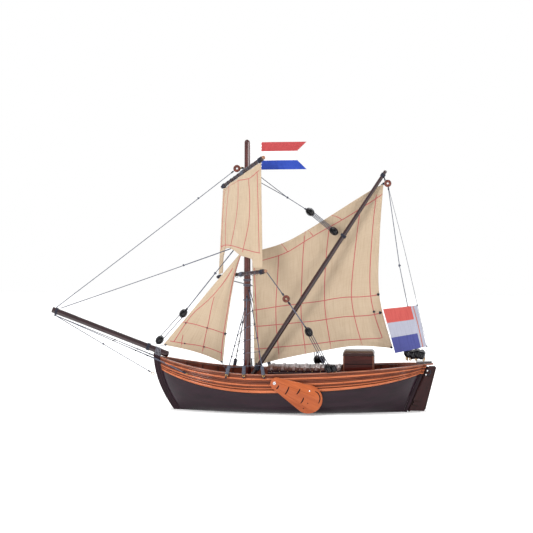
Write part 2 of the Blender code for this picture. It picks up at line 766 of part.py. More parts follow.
def make_flags(paint):
    """The swallow-tailed pennant at the masthead and the ensign by the stern."""
    low, high, start, length, notch = 0.374, 0.4165, 0.0055, 0.0865, 0.022

    def pennant(u, v):
        reach_out = length - notch * (1 - abs(2 * v - 1))
        x = start + u * reach_out
        return Vector((x, 0.002 * math.sin(9 * u), high + (low - high) * v + 0.001 * u))
    sheet("pennant", pennant, 8, 6, Vector((0, 1, 0)), paint["flag"])

    corners = [Vector((0.2112, -0.0145, 0.160)), Vector((0.263, -0.0145, 0.166)),
               Vector((0.2302, -0.0155, 0.092)), Vector((0.278, -0.0155, 0.103))]

    def ensign(u, v):
        wave = 0.0012 * math.sin(2.6 * math.pi * u)
        return (corners[0].lerp(corners[1], u).lerp(corners[2].lerp(corners[3], u), v)
                + Vector((0, wave, 0)))
    sheet("ensign", ensign, 8, 8, Vector((0, 1, 0)), paint["flag"])


# ---- Rigging ------------------------------------------------------------------------------------
def block(name, centre, along, paint):
    """An egg-shaped rigging block with its long way along a direction."""
    mesh = bpy.data.meshes.new(name)
    shape = bmesh.new()
    bmesh.ops.create_uvsphere(shape, u_segments=10, v_segments=7, radius=1.0)
    side, other = frame_along(along)
    length, width, thick = BLOCK
    turn = Matrix((side * width, other * thick, along.normalized() * length)).transposed()
    bmesh.ops.transform(shape, matrix=Matrix.Translation(centre) @ turn.to_4x4(), verts=shape.verts)
    bmesh.ops.recalc_face_normals(shape, faces=shape.faces)
    shape.to_mesh(mesh)
    shape.free()
    mesh.shade_smooth()
    return add_object(name, mesh, paint["block"])


def knot(name, centre, surface):
    """The round knot where lines meet."""
    mesh = bpy.data.meshes.new(name)
    shape = bmesh.new()
    bmesh.ops.create_icosphere(shape, subdivisions=1, radius=2 * ROPE,
                               matrix=Matrix.Translation(centre))
    shape.to_mesh(mesh)
    shape.free()
    return add_object(name, mesh, surface)


def ring(name, centre, facing, surface):
    """A round thimble that lines run through."""
    side, other = frame_along(facing)
    facing = facing.normalized()
    major, minor = RING
    points, faces, around, section = [], [], 16, 8
    for step in range(around):
        turn = math.tau * step / around
        out = side * math.cos(turn) + other * math.sin(turn)
        for part in range(section):
            swing = math.tau * part / section
            points.append(centre + out * (major + minor * math.cos(swing))
                          + facing * minor * math.sin(swing))
    for step in range(around):
        for part in range(section):
            after, beyond = (part + 1) % section, (step + 1) % around
            faces.append((step * section + part, step * section + after,
                          beyond * section + after, beyond * section + part))
    return add_mesh(name, points, faces, surface, 60)


def make_shrouds(paint):
    """Three shrouds to a side, tied together by ratlines."""
    for name, side in (("port_shrouds", -1), ("starboard_shrouds", 1)):
        runs = []
        for index, (foot_x, head_z) in enumerate(zip(SHROUD_FEET, SHROUD_HEADS)):
            foot_y = BEAM_HALF + RAIL_OUT + 0.0016 - (0.0032, 0.0012, 0.0)[index]
            foot = Vector((foot_x, side * foot_y, SHROUD_FOOT_Z))
            runs.append((foot, to_mast(foot, head_z)))
        ropes = [rod("%s_%d" % (name, index) if index else name, *run, ROPE, paint["rope"])
                 for index, run in enumerate(runs)]
        steps = []
        for step in range(RATLINES):
            part = 0.13 + 0.155 * step
            first, last = runs[0][0].lerp(runs[0][1], part), runs[2][0].lerp(runs[2][1], part)
            middle = runs[1][0].lerp(runs[1][1], part)
            for index, (start, end) in enumerate(((first, middle), (middle, last))):
                over = (end - start).normalized() * 0.0012
                steps.append(rod("%s_step_%d_%d" % (name, step, index), start - over, end + over,
                                 THREAD, None, 5))
        fuse([*ropes, *steps])


def make_head_stays(paint):
    """The stays from the bowsprit and the stem to the mast."""
    tip = BOWSPRIT[0] + Vector((0.006, 0, 0.0035))
    line_between("topmast_stay", tip, MAST_RING, 0.002, RING[0] + RING[1] + GAP, ROPE,
                 paint["rope"])
    low = tip + Vector((0.0075, 0, -0.001))
    rod("topsail_stay", low, Vector((-0.0046, 0.0046, 0.2588)), ROPE, paint["rope"])
    ring("masthead_ring", MAST_RING, Vector((0, 1, 0)), paint["ring"])
    head = to_mast(STAY_BLOCK_HIGH, 0.2765) + Vector((0, 0.0035, 0))
    block("forestay_lower_block", STAY_BLOCK_LOW, head - STAY_BLOCK_LOW, paint)
    upper = block("forestay_upper_block", STAY_BLOCK_HIGH, head - STAY_BLOCK_HIGH, paint)
    leave = BLOCK[0] + GAP
    fuse([upper, line_between("forestay_fall", STAY_BLOCK_HIGH, STAY_BLOCK_LOW, INTO, leave, ROPE,
                              None)])
    line_between("forestay", STAY_BLOCK_HIGH, head, leave, 0.0, ROPE, paint["rope"])


def make_bowsprit_rigging(paint):
    """The bobstay below the bowsprit and its two shrouds back to the bow."""
    start = BOWSPRIT[0] + Vector((0.004, 0, -0.0088))
    tie = knot("bowsprit_rigging", start, paint["rope"])
    pieces = [tie, line_between("bobstay", start, STEM_EYE, 0.0004, 0.0045, ROPE, None)]
    for name, change in (("port", Vector), ("starboard", mirrored)):
        corner, eye = change(BOW_CORNER), change(BOW_EYE)
        pieces += [knot("%s_bow_corner" % name, corner, None),
                   rod("%s_bowsprit_shroud" % name, *span(start, corner, 0.0006, 0.0002), ROPE,
                       None, 7),
                   line_between("%s_bow_run" % name, corner, eye, 0.0003, 0.0020, ROPE, None)]
    fuse(pieces)


def make_braces(paint):
    """The tackles that lead from the topsail's lower yard to the rails."""
    for name, change, end in (("port", Vector, LOWER_YARD[1]),
                              ("starboard", mirrored, LOWER_YARD[0])):
        thimble, high = change(BRACE_RING), change(BRACE_HIGH)
        low = BRACE_LOW if name == "port" else STARBOARD_BRACE_LOW
        leave = BLOCK[0] + GAP
        ring("%s_brace_ring" % name, thimble, high - end, paint["ring"])
        upper = block("%s_brace_upper_block" % name, high, low - high, paint)
        block("%s_brace_lower_block" % name, low, low - high, paint)
        start, _ = span(end, thimble, 0.0045, 0.0)
        _, stop = span(thimble, high, 0.0, leave)
        rope("%s_brace" % name, [start, thimble, stop], ROPE, paint["rope"])
        fuse([upper, line_between("%s_brace_fall" % name, high, low, INTO, leave, THREAD, None)])


def make_peak_rigging(paint):
    """The span from the mast to the sprit and the vangs from the peak to the stern."""
    leave = BLOCK[0] + GAP
    meeting = SPAN_BLOCK.lerp(Vector((0, 0, 0.3705)), 0.36)
    tie = knot("peak_span", meeting, paint["rope"])
    aside = Vector((-0.002, -0.0045, 0))
    upper = rod("span_upper_leg", to_mast(meeting, 0.381) + aside,
                meeting + Vector((-0.0003, 0, 0.0002)), ROPE, None)
    lower = line_between("span_lower_leg", meeting, to_mast(meeting, 0.366), 0.0005, 0, ROPE, None)
    fall = line_between("span_pendant", meeting, SPAN_BLOCK, 0.0003, leave, ROPE, None)
    fuse([tie, upper, lower, fall])
    upper = block("span_block", SPAN_BLOCK, SPRIT_BLOCK - SPAN_BLOCK, paint)
    block("sprit_block", SPRIT_BLOCK, SPRIT_BLOCK - SPAN_BLOCK, paint)
    fuse([upper, line_between("span_fall", SPAN_BLOCK, SPRIT_BLOCK, INTO, leave, THREAD, None)])

    ring("peak_ring", PEAK_RING, Vector((0, 1, 0)), paint["ring"])
    out = RING[0] + RING[1] + GAP
    tie = knot("vangs", VANG_KNOT, paint["rope"])
    lines = [line_between("vang_pendant", VANG_KNOT, PEAK_RING, 0.0003, out, ROPE, None)]
    for name, change in (("port", Vector), ("starboard", mirrored)):
        foot = change(VANG_BLOCK)
        lines.append(line_between("%s_vang_fall" % name, VANG_KNOT, foot, 0.0004, leave, ROPE, None))
        block("%s_vang_block" % name, foot, VANG_KNOT - foot, paint)
    fuse([tie, *lines])


def make_rigging(paint):
    make_shrouds(paint)
    make_head_stays(paint)
    make_bowsprit_rigging(paint)
    make_braces(paint)
    make_peak_rigging(paint)


def main():
    for item in list(bpy.data.objects):
        bpy.data.objects.remove(item, do_unlink=True)
    paint = make_materials()
    make_hull(paint)
    make_rudder(paint)
    make_leeboards(paint)
    make_spars(paint)
    make_mainsail(paint)
    make_staysail(paint)
    make_topsail(paint)
    make_flags(paint)
    make_rigging(paint)


main()
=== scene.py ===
"""Looks of the sailing barge model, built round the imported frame.

Metres, +Z up, +X to the stern, -Y to port, as in the frame.
"""
import math

import bmesh
import bpy
import numpy as np
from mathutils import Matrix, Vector, noise


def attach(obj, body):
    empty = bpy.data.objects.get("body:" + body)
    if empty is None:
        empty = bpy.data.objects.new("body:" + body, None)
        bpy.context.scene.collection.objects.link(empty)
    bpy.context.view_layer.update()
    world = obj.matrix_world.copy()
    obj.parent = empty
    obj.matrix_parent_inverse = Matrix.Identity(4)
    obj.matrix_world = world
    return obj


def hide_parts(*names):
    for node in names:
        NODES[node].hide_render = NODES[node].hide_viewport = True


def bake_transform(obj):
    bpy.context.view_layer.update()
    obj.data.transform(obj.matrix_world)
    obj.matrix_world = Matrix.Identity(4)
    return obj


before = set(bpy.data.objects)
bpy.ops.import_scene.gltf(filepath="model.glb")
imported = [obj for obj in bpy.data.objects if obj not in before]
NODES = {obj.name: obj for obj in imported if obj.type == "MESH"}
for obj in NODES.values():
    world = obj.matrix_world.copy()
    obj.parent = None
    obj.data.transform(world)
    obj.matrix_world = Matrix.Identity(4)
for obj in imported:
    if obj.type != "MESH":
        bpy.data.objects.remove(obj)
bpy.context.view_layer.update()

MM = 0.001
PORT, STARBOARD = -1, 1
SIDES = (("port", PORT), ("starboard", STARBOARD))


# ---- Camera, floor and light --------------------------------------------------------------------
LOOK_AT = Vector((0.030, 0.0, 0.224))
DISTANCE = 2.6
AZIMUTH, ELEVATION = math.radians(5), math.radians(3)
LENS = 113.0
FLOOR_SIZE, WORLD_LIGHT = 30, 0.6
WHITE, BLACK = (1, 1, 1, 1), (0, 0, 0, 1)
# name, place, width and height, and power in watts
LAMPS = (("key_light", (-1.4, -1.75, 1.0), (0.50, 1.9), 38),
         ("fill_light", (1.7, -1.3, 0.8), (0.35, 1.2), 12),
         ("top_light", (0.1, -0.4, 2.4), (1.4, 0.40), 24),
         ("back_light", (0.4, 1.9, 1.3), (1.2, 0.6), 10))


def make_camera():
    data = bpy.data.cameras.new("camera")
    data.lens = LENS
    data.clip_end = 50
    made = bpy.data.objects.new("camera", data)
    bpy.context.collection.objects.link(made)
    level = math.cos(ELEVATION)
    back = Vector((math.sin(AZIMUTH) * level, -math.cos(AZIMUTH) * level, math.sin(ELEVATION)))
    made.location = LOOK_AT + back * DISTANCE
    made.rotation_euler = (-back).to_track_quat("-Z", "Y").to_euler()
    bpy.context.scene.camera = made


def area_light(name, place, size, power):
    data = bpy.data.lights.new(name, "AREA")
    data.shape = "RECTANGLE"
    data.size, data.size_y = size
    data.energy = power
    made = bpy.data.objects.new(name, data)
    bpy.context.collection.objects.link(made)
    made.location = place
    made.rotation_euler = (LOOK_AT - Vector(place)).to_track_quat("-Z", "Y").to_euler()


def stage_with(thing, name, look, **values):
    """Gives a studio object its name and an even material."""
    thing.name = name
    made = bpy.data.materials.new(look)
    made.use_nodes = True
    shader = made.node_tree.nodes["Principled BSDF"]
    for key, value in values.items():
        shader.inputs[key.replace("_", " ")].default_value = value
    thing.data.materials.append(made)


def make_studio():
    """A white floor, a lit wall behind the model and four lamps."""
    bpy.ops.mesh.primitive_plane_add(size=FLOOR_SIZE)
    stage_with(bpy.context.object, "floor", "floor_white", Base_Color=WHITE, Roughness=0.9,
               Emission_Color=WHITE, Emission_Strength=0.15)
    world = bpy.data.worlds.new("studio")
    bpy.context.scene.world = world
    world.use_nodes = True
    background = world.node_tree.nodes["Background"]
    background.inputs["Color"].default_value = WHITE
    background.inputs["Strength"].default_value = WORLD_LIGHT
    bpy.ops.mesh.primitive_plane_add(size=1, location=(0, 2.6, 3.0),
                                     rotation=(math.radians(90), 0, 0))
    backdrop = bpy.context.object
    backdrop.scale = (16, 6, 1)
    stage_with(backdrop, "backdrop", "backdrop_white", Base_Color=BLACK, Specular_IOR_Level=0.0,
               Emission_Color=WHITE, Emission_Strength=1.0)
    for lamp in LAMPS:
        area_light(*lamp)
    bpy.context.scene.view_settings.view_transform = "Standard"


# ---- Materials ----------------------------------------------------------------------------------
def shade(name, roughness, coat=0.0, metallic=0.0, specular=0.14):
    """A new material and its shader, with the values that are even all over."""
    made = bpy.data.materials.new(name)
    made.use_nodes = True
    tree = made.node_tree
    shader = tree.nodes["Principled BSDF"]
    shader.inputs["Roughness"].default_value = roughness
    shader.inputs["Metallic"].default_value = metallic
    shader.inputs["Specular IOR Level"].default_value = specular
    shader.inputs["Coat Weight"].default_value = coat
    shader.inputs["Coat Roughness"].default_value = 0.09
    return made, tree, shader


def node(tree, kind, **values):
    """A shader node with its settings and unlinked inputs."""
    made = tree.nodes.new(kind)
    for key, value in values.items():
        if key in made.inputs:
            made.inputs[key].default_value = value
        else:
            setattr(made, key, value)
    return made


def mapping(tree, scale, axis=None, source="Object"):
    """Coordinates whose X runs along an axis, scaled."""
    place = node(tree, "ShaderNodeTexCoord")
    turn = node(tree, "ShaderNodeMapping")
    turn.vector_type = "POINT"
    if axis is not None:
        towards = Vector(axis).normalized()
        rotation = towards.to_track_quat("X", "Z").inverted().to_euler()
        spin = node(tree, "ShaderNodeMapping")
        spin.inputs["Rotation"].default_value = rotation
        tree.links.new(place.outputs[source], spin.inputs["Vector"])
        tree.links.new(spin.outputs["Vector"], turn.inputs["Vector"])
    else:
        tree.links.new(place.outputs[source], turn.inputs["Vector"])
    turn.inputs["Scale"].default_value = scale
    return turn.outputs["Vector"]


def ramp(tree, factor, stops):
    """Colours placed along a factor."""
    made = node(tree, "ShaderNodeValToRGB")
    points = made.color_ramp.elements
    while len(points) < len(stops):
        points.new(0.5)
    for point, (place, colour) in zip(points, stops):
        point.position = place
        point.color = (*colour, 1) if len(colour) == 3 else colour
    tree.links.new(factor, made.inputs["Fac"])
    return made.outputs["Color"]


def mix(tree, factor, first, second, blend="MIX"):
    """Two colours blended; the factor and the colours are values or outputs of other nodes."""
    made = node(tree, "ShaderNodeMix", data_type="RGBA", blend_type=blend)
    for value, slot in ((factor, 0), (first, 6), (second, 7)):
        if isinstance(value, bpy.types.NodeSocket):
            tree.links.new(value, made.inputs[slot])
        elif slot == 0:
            made.inputs[slot].default_value = value
        else:
            made.inputs[slot].default_value = (*value, 1)
    return made.outputs[2]


def bump(tree, shader, height, strength, distance, below=None):
    """Relief for a shader, laid over an earlier relief if there is one."""
    made = node(tree, "ShaderNodeBump", Strength=strength, Distance=distance)
    tree.links.new(height, made.inputs["Height"])
    if below is not None:
        tree.links.new(below, made.inputs["Normal"])
    tree.links.new(made.outputs["Normal"], shader.inputs["Normal"])
    return made.outputs["Normal"]


def noise_over(tree, place, scale, detail, roughness=0.5):
    """Noise over given coordinates."""
    made = node(tree, "ShaderNodeTexNoise", Scale=scale, Detail=detail, Roughness=roughness)
    tree.links.new(place, made.inputs["Vector"])
    return made.outputs["Fac"]


def darkened(tree, colour, amount, factor, low, high):
    """A colour multiplied by a grey that goes from low, a stop and its shade, to white at high."""
    return mix(tree, amount, colour, ramp(tree, factor, (low, (high, (1, 1, 1)))), "MULTIPLY")


def wood(name, light, dark, axis=(1, 0, 0), roughness=0.42, coat=0.35, grain=1.0, pores=0.6):
    """Varnished wood with long grain, fine pores and uneven stain."""
    made, tree, shader = shade(name, roughness, coat)
    along = mapping(tree, (14 * grain, 190 * grain, 190 * grain), axis)
    long_grain = noise_over(tree, along, 1.0, 6.0, 0.62)
    along = mapping(tree, (70 * grain, 1500 * grain, 1500 * grain), axis)
    fibre = noise_over(tree, along, 1.0, 4.0, 0.7)
    stain = noise_over(tree, mapping(tree, (1, 1, 1)), 24.0, 2.0)
    middle = tuple((a + b) / 2 for a, b in zip(light, dark))
    colour = ramp(tree, long_grain, ((0.30, dark), (0.47, middle), (0.66, light)))
    colour = darkened(tree, colour, 0.35 * pores, fibre, (0.35, (0.25, 0.25, 0.25)), 0.62)
    colour = darkened(tree, colour, 0.4, stain, (0.3, (0.72, 0.70, 0.70)), 0.7)
    tree.links.new(colour, shader.inputs["Base Color"])
    rough = node(tree, "ShaderNodeMapRange")
    rough.inputs["To Min"].default_value = roughness - 0.08
    rough.inputs["To Max"].default_value = roughness + 0.14
    tree.links.new(fibre, rough.inputs["Value"])
    tree.links.new(rough.outputs["Result"], shader.inputs["Roughness"])
    first = bump(tree, shader, fibre, 0.25, 0.0004)
    bump(tree, shader, long_grain, 0.2, 0.0006, first)
    return made


def cloth(name, base, deep, pitch=0.0006):
    """Woven cloth: crossed threads, uneven yarn and soft mottling."""
    made, tree, shader = shade(name, 0.92, specular=0.08)
    shader.inputs["Sheen Weight"].default_value = 0.10
    shader.inputs["Sheen Roughness"].default_value = 0.6
    turns = 1.0 / pitch
    waves = []
    for direction, scale in (("X", (turns, 1, 1)), ("Y", (1, turns, 1))):
        wave = node(tree, "ShaderNodeTexWave", Scale=0.314, Distortion=0.4, Detail=0,
                    bands_direction=direction)
        tree.links.new(mapping(tree, scale, None, "UV"), wave.inputs["Vector"])
        waves.append(wave.outputs["Fac"])
    yarn = noise_over(tree, mapping(tree, (620, 30, 1), None, "UV"), 1.0, 4.0, 0.65)
    weft = noise_over(tree, mapping(tree, (30, 620, 1), None, "UV"), 1.0, 4.0, 0.65)
    mottle = noise_over(tree, mapping(tree, (30, 30, 30)), 1.0, 3.0)
    colour = ramp(tree, yarn, ((0.30, deep), (0.52, base)))
    colour = darkened(tree, colour, 0.5, weft, (0.36, (0.92, 0.91, 0.89)), 0.6)
    colour = darkened(tree, colour, 0.45, mottle, (0.3, (0.88, 0.86, 0.83)), 0.7)
    tree.links.new(colour, shader.inputs["Base Color"])
    crossed = node(tree, "ShaderNodeMath", operation="ADD")
    tree.links.new(waves[0], crossed.inputs[0])
    tree.links.new(waves[1], crossed.inputs[1])
    first = bump(tree, shader, crossed.outputs[0], 0.35, 0.0002)
    bump(tree, shader, yarn, 0.3, 0.0003, first)
    return made


def speckled(shaded, scale, detail, stops, strength, distance):
    """Colours a shaded material by fine spots and raises them a little."""
    made, tree, shader = shaded
    spots = noise_over(tree, mapping(tree, (1, 1, 1)), scale, detail)
    tree.links.new(ramp(tree, spots, stops), shader.inputs["Base Color"])
    bump(tree, shader, spots, strength, distance)
    return made


def thread(name, base, deep):
    """Dull, slightly fuzzy cord."""
    shaded = shade(name, 0.75, specular=0.15)
    shaded[2].inputs["Sheen Weight"].default_value = 0.05
    return speckled(shaded, 1400.0, 3.0, ((0.32, deep), (0.68, base)), 0.5, 0.0002)


def metal(name, base, worn, roughness):
    """Small metal fittings with slight tarnish."""
    shaded = shade(name, roughness, metallic=1.0)
    return speckled(shaded, 420.0, 3.0, ((0.38, worn), (0.62, base)), 0.15, 0.0001)


def lacquer(name, base, edge, roughness):
    """Lacquered turned wood, glossy, with slightly rubbed colour."""
    shaded = shade(name, roughness, 0.45)
    return speckled(shaded, 260.0, 4.0, ((0.42, base), (0.72, edge)), 0.06, 0.0002)


# ---- Mesh building ------------------------------------------------------------------------------
class Shape:
    """Points and faces gathered for one piece, with a material slot for each face."""

    def __init__(self):
        self.points, self.faces, self.slots = [], [], []

    def add(self, points, faces, slot=0):
        start = len(self.points)
        self.points.extend(tuple(point) for point in points)
        self.faces.extend(tuple(start + index for index in face) for face in faces)
        self.slots.extend([slot] * len(faces))

    def rings(self, rings, slot=0, caps=True, loop=False):
        """Joins closed rings of points one after the other."""
        count = len(rings[0])
        points = [point for ring in rings for point in ring]
        faces = []
        for ring in range(len(rings) if loop else len(rings) - 1):
            low, high = ring * count, (ring + 1) % len(rings) * count
            for side in range(count):
                after = (side + 1) % count
                faces.append((low + side, low + after, high + after, high + side))
        if caps and not loop:
            faces += [tuple(range(count)), tuple(range(len(points) - count, len(points)))]
        self.add(points, faces, slot)

    def piece(self, name, materials, body=None, slot=None, replaces=(), sharp=40):
        """The finished object; sharp is the angle in degrees above which an edge stays crisp."""
        mesh = bpy.data.meshes.new(name)
        mesh.from_pydata(self.points, [], self.faces)
        for material in materials:
            mesh.materials.append(material)
        mesh.polygons.foreach_set("material_index", self.slots)
        work = bmesh.new()
        work.from_mesh(mesh)
        bmesh.ops.recalc_face_normals(work, faces=work.faces)
        work.to_mesh(mesh)
        work.free()
        mesh.shade_smooth()
        if sharp:
            mesh.set_sharp_from_angle(angle=math.radians(sharp))
        made = bpy.data.objects.new(name, mesh)
        bpy.context.collection.objects.link(made)
        if body:
            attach(made, body)
        if replaces:
            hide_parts(*replaces)
        return made


def frame_along(direction):
    """Two unit vectors square to a direction."""
    along = direction.normalized()
    helper = Vector((0, 0, 1)) if abs(along.z) < 0.9 else Vector((1, 0, 0))
    side = along.cross(helper).normalized()
    return side, along.cross(side)


def full_turn(count):
    """The angles of evenly spaced places round one whole turn."""
    return [math.tau * step / count for step in range(count)]


def circle(centre, side, other, radius, count):
    """Points round a centre, on two unit vectors square to each other."""
    return [centre + (side * math.cos(turn) + other * math.sin(turn)) * radius
            for turn in full_turn(count)]


def octagon(share):
    """Corners of a square of half-width 1 whose own corners are cut back to a share of it."""
    return ((-1, -share), (-share, -1), (share, -1), (1, -share), (1, share), (share, 1),
            (-share, 1), (-1, share))


def between(before, start, end, after, part):
    """The point a share of the way from start to end on a smooth curve through four points."""
    return 0.5 * (2 * start + (end - before) * part
                  + (2 * before - 5 * start + 4 * end - after) * part ** 2
                  + (3 * start - before - 3 * end + after) * part ** 3)


def smooth_route(points, step=0.001):
    """Evenly stepped points of a smooth curve through a few given points."""
    points = [Vector(point) for point in points]
    last = len(points) - 1
    fine = []
    for index in range(last):
        before, start = points[max(index - 1, 0)], points[index]
        end, after = points[index + 1], points[min(index + 2, last)]
        parts = max(2, int((end - start).length / step))
        fine.extend(between(before, start, end, after, number / parts)
                    for number in range(parts))
    fine.append(points[-1])
    return fine


def hung(start, end, slack=0.01, step=0.001):
    """A line between two points that sags by a share of its length."""
    start, end = Vector(start), Vector(end)
    length = (end - start).length
    count = max(3, int(length / step))
    return [start.lerp(end, index / count)
            - Vector((0, 0, 4 * slack * length * (index / count) * (1 - index / count)))
            for index in range(count + 1)]


def line(shape, route, radius=0.0006, slot=0, sides=8, lay=0.0, flat=None, loop=False, taper=None):
    """A cord along a route; lay is the length in which its three strands go round once.

    flat = (facing, share) squashes the section along a direction.
    """
    count = len(route)
    rings, across, run = [], None, 0.0
    for index, place in enumerate(route):
        before = route[(index - 1) % count] if loop or index else place
        after = route[(index + 1) % count] if loop or index < count - 1 else place
        along = (after - before).normalized()
        if across is None:
            across = frame_along(along)[0]
        across = (across - along * across.dot(along)).normalized()
        other = along.cross(across)
        if index:
            run += (place - route[index - 1]).length
        size = radius * (taper(index / max(count - 1, 1)) if taper else 1.0)
        ring = []
        for side in range(sides):
            turn = math.tau * side / sides
            reach_out = size
            if lay:
                reach_out *= 0.80 + 0.24 * abs(math.cos(1.5 * (turn - math.tau * run / lay)))
            offset = (across * math.cos(turn) + other * math.sin(turn)) * reach_out
            if flat:
                facing, share = flat
                offset -= facing * offset.dot(facing) * (1 - share)
            ring.append(place + offset)
        rings.append(ring)
    shape.rings(rings, slot, loop=loop)


def rope(shape, route, radius=0.0006, slot=0):
    """A cord laid of three strands."""
    line(shape, route, radius, slot, sides=9, lay=radius * 6)


def torus(shape, centre, facing, major, minor, slot=0, around=28, sides=10):
    """A round wire ring."""
    side, other = frame_along(Vector(facing))
    route = [Vector(centre) + side * (major * math.cos(turn)) + other * (major * math.sin(turn))
             for turn in full_turn(around)]
    line(shape, route, minor, slot, sides, loop=True)


def wraps(shape, centre, along, radius, turns, size=0.0004, slot=0):
    """Thread wound tightly round a spar or rope."""
    along = Vector(along).normalized()
    side, other = frame_along(along)
    pitch = 1.9 * size
    start = Vector(centre) - along * (pitch * turns / 2)
    count = int(turns * 14)
    route = []
    for index in range(count + 1):
        turn = math.tau * turns * index / count
        route.append(start + along * (pitch * turns * index / count)
                     + (side * math.cos(turn) + other * math.sin(turn)) * (radius + size * 0.8))
    line(shape, route, size, slot, sides=6)


def tied_knot(shape, centre, size=0.0011, thick=0.0005, slot=0, facing=(0, 1, 0)):
    """A small overhand knot."""
    side, other = frame_along(Vector(facing))
    normal = Vector(facing).normalized()
    route = []
    for turn in full_turn(42):
        out = size * (0.62 + 0.38 * math.cos(3 * turn))
        route.append(Vector(centre) + side * (out * math.cos(2 * turn))
                     + other * (out * math.sin(2 * turn))
                     + normal * (0.5 * size * math.sin(3 * turn)))
    line(shape, route, thick, slot, sides=6, loop=True)


def eyebolt(shape, centre, facing, up, size=0.0013, wire=0.00042, shank=0.0022, slot=0):
    """A bent wire eye whose shank goes into the wood below it."""
    centre, up = Vector(centre), Vector(up).normalized()
    torus(shape, centre, facing, size, wire, slot, 20, 8)
    line(shape, [centre - up * size * 0.95, centre - up * (size + shank)], wire, slot, 8)


def ball(shape, centre, axes, slot=0, around=20, along=12, form=None):
    """A rounded solid on three axis vectors; form moves its points in unit coordinates."""
    centre = Vector(centre)
    rings = []
    for step in range(along + 1):
        polar = math.pi * min(max(step / along, 0.012), 0.988)
        ring = []
        for turn in full_turn(around):
            unit = Vector((math.sin(polar) * math.cos(turn), math.sin(polar) * math.sin(turn),
                           math.cos(polar)))
            if form:
                unit = form(unit)
            ring.append(centre + axes[0] * unit.x + axes[1] * unit.y + axes[2] * unit.z)
        rings.append(ring)
    shape.rings(rings, slot)


def stud(shape, centre, radius, height, slot=0, around=10, along=5):
    """The round head of a nail or pin that faces port or starboard."""
    ball(shape, centre, (Vector((radius, 0, 0)), Vector((0, 0, radius)), Vector((0, height, 0))),
         slot, around, along)


# half the length, width and thickness of a pulley at scale 1, before it is carved
BLOCK = (0.0049, 0.0044, 0.0038)


def pulley(shape, centre, along, wood_slot=0, strop_slot=1, scale=1.4):
    """A carved block: a mortise for its sheave on each edge and a rope strop in its score."""
    along = Vector(along).normalized()
    side, other = frame_along(along)
    length, width, thick = (scale * part for part in BLOCK)

    def carved(unit):
        boxed = Vector((abs(unit.x) ** 0.86 * (1 if unit.x > 0 else -1),
                        abs(unit.y) ** 0.80 * (1 if unit.y > 0 else -1), unit.z))
        full = 1 + 0.24 * unit.z ** 2
        boxed = Vector((boxed.x * full, boxed.y * full, boxed.z))
        if abs(boxed.y) < 0.26 and abs(boxed.z) < 0.58 and abs(boxed.x) > 0.3:
            boxed.x *= 0.62
        return boxed

    ball(shape, centre, (side * width, other * thick, along * length), wood_slot, 36, 22, carved)
    route = [Vector(centre) + other * (thick * math.cos(turn))
             + along * (length * 1.02 * math.sin(turn)) for turn in full_turn(40)]
    line(shape, route, 0.00052 * scale, strop_slot, 8, loop=True)
    sheave = side * (width * 0.52)
    ball(shape, centre, (sheave, other * (thick * 0.2), along * (length * 0.42)), strop_slot, 14, 8)


# ---- Hull form, as in the solid model -----------------------------------------------------------
STEM_X, STEM_RAKE, STEM_TOP, STEM_SIDING = -0.147, 0.032, 0.0875, 0.0105
POST_X, POST_SIDING, POST_RAKE, POST_HALF = 0.2425, 0.006, 0.42, 0.0045
BEAM_X, BEAM_HALF = 0.060, 0.057
STEM_END_HALF, POST_END_HALF, FLAT_HALF = 0.005, 0.0078, 0.030
SHEER_LOW, SHEER_X, SHEER_FORE, SHEER_AFT = 0.0618, 0.020, 0.86, 0.104
RAIL_HEIGHT, RAIL_OUT, STRAKE_DEPTH, SHELL = 0.0022, 0.0012, 0.0268, 0.003
DECK_DROP, STATION_HEIGHT, GAP = 0.0145, 0.075, 0.0003
RAIL_LEVEL = 0.07    # the height at which fittings along the rail find their station
JUST_PROUD = 0.00002


def stem_edge(z):
    return STEM_X + STEM_RAKE * (1 - z / STEM_TOP) ** 2


def station_x(part, z):
    fore = stem_edge(z) + STEM_SIDING
    return fore + (POST_X + POST_RAKE * z - fore) * part


def reach(part):
    x = station_x(part, STATION_HEIGHT)
    end = station_x(0.0 if x < BEAM_X else 1.0, STATION_HEIGHT)
    return min(1.0, (x - BEAM_X) / (end - BEAM_X))


def is_fore(part):
    return station_x(part, STATION_HEIGHT) < BEAM_X


def half_beam(part):
    if is_fore(part):
        return STEM_END_HALF + (BEAM_HALF - STEM_END_HALF) * (1 - reach(part) ** 2.2) ** 0.7
    return POST_END_HALF + (BEAM_HALF - POST_END_HALF) * (1 - reach(part) ** 3) ** 0.65


def sheer(x):
    if x < SHEER_X:
        return SHEER_LOW + SHEER_FORE * (SHEER_X - x) ** 2
    return SHEER_LOW + SHEER_AFT * (x - SHEER_X) ** 1.5


def rail_z(part):
    return sheer(station_x(part, STATION_HEIGHT))


def strake_foot(part):
    narrowing = (0.3 if is_fore(part) else 0.5) * reach(part) ** 4
    return rail_z(part) - RAIL_HEIGHT - STRAKE_DEPTH * (1 - narrowing)


def stations(count, first=0.0, last=1.0):
    return [first + (last - first) * (1 - math.cos(math.pi * step / count)) / 2
            for step in range(count + 1)]


def wall(part):
    return SHELL * (1 + reach(part) ** 4)


def bilge(part, top, steps):
    """One side of a hull section from the top down to the flat bottom."""
    spread = reach(part)
    end_half = POST_HALF + (FLAT_HALF - POST_HALF) * (1 - spread ** 1.6)
    side = max(half_beam(part), 0.0012)
    flat = min(max(end_half, 0.0008), side)
    power = 2 / (2.4 - (0.5 if is_fore(part) else 1.25) * spread ** 2)
    places = []
    for step in range(steps + 1):
        turn = math.pi / 2 * step / steps
        breadth = flat + (side - flat) * abs(math.cos(turn)) ** power
        places.append((breadth, top * (1 - math.sin(turn) ** power)))
    return places


def hull_point(part, z, side, proud=0.0):
    """A point on the outside of the planking above the bilge."""
    return Vector((station_x(part, z), side * (half_beam(part) + proud), z))


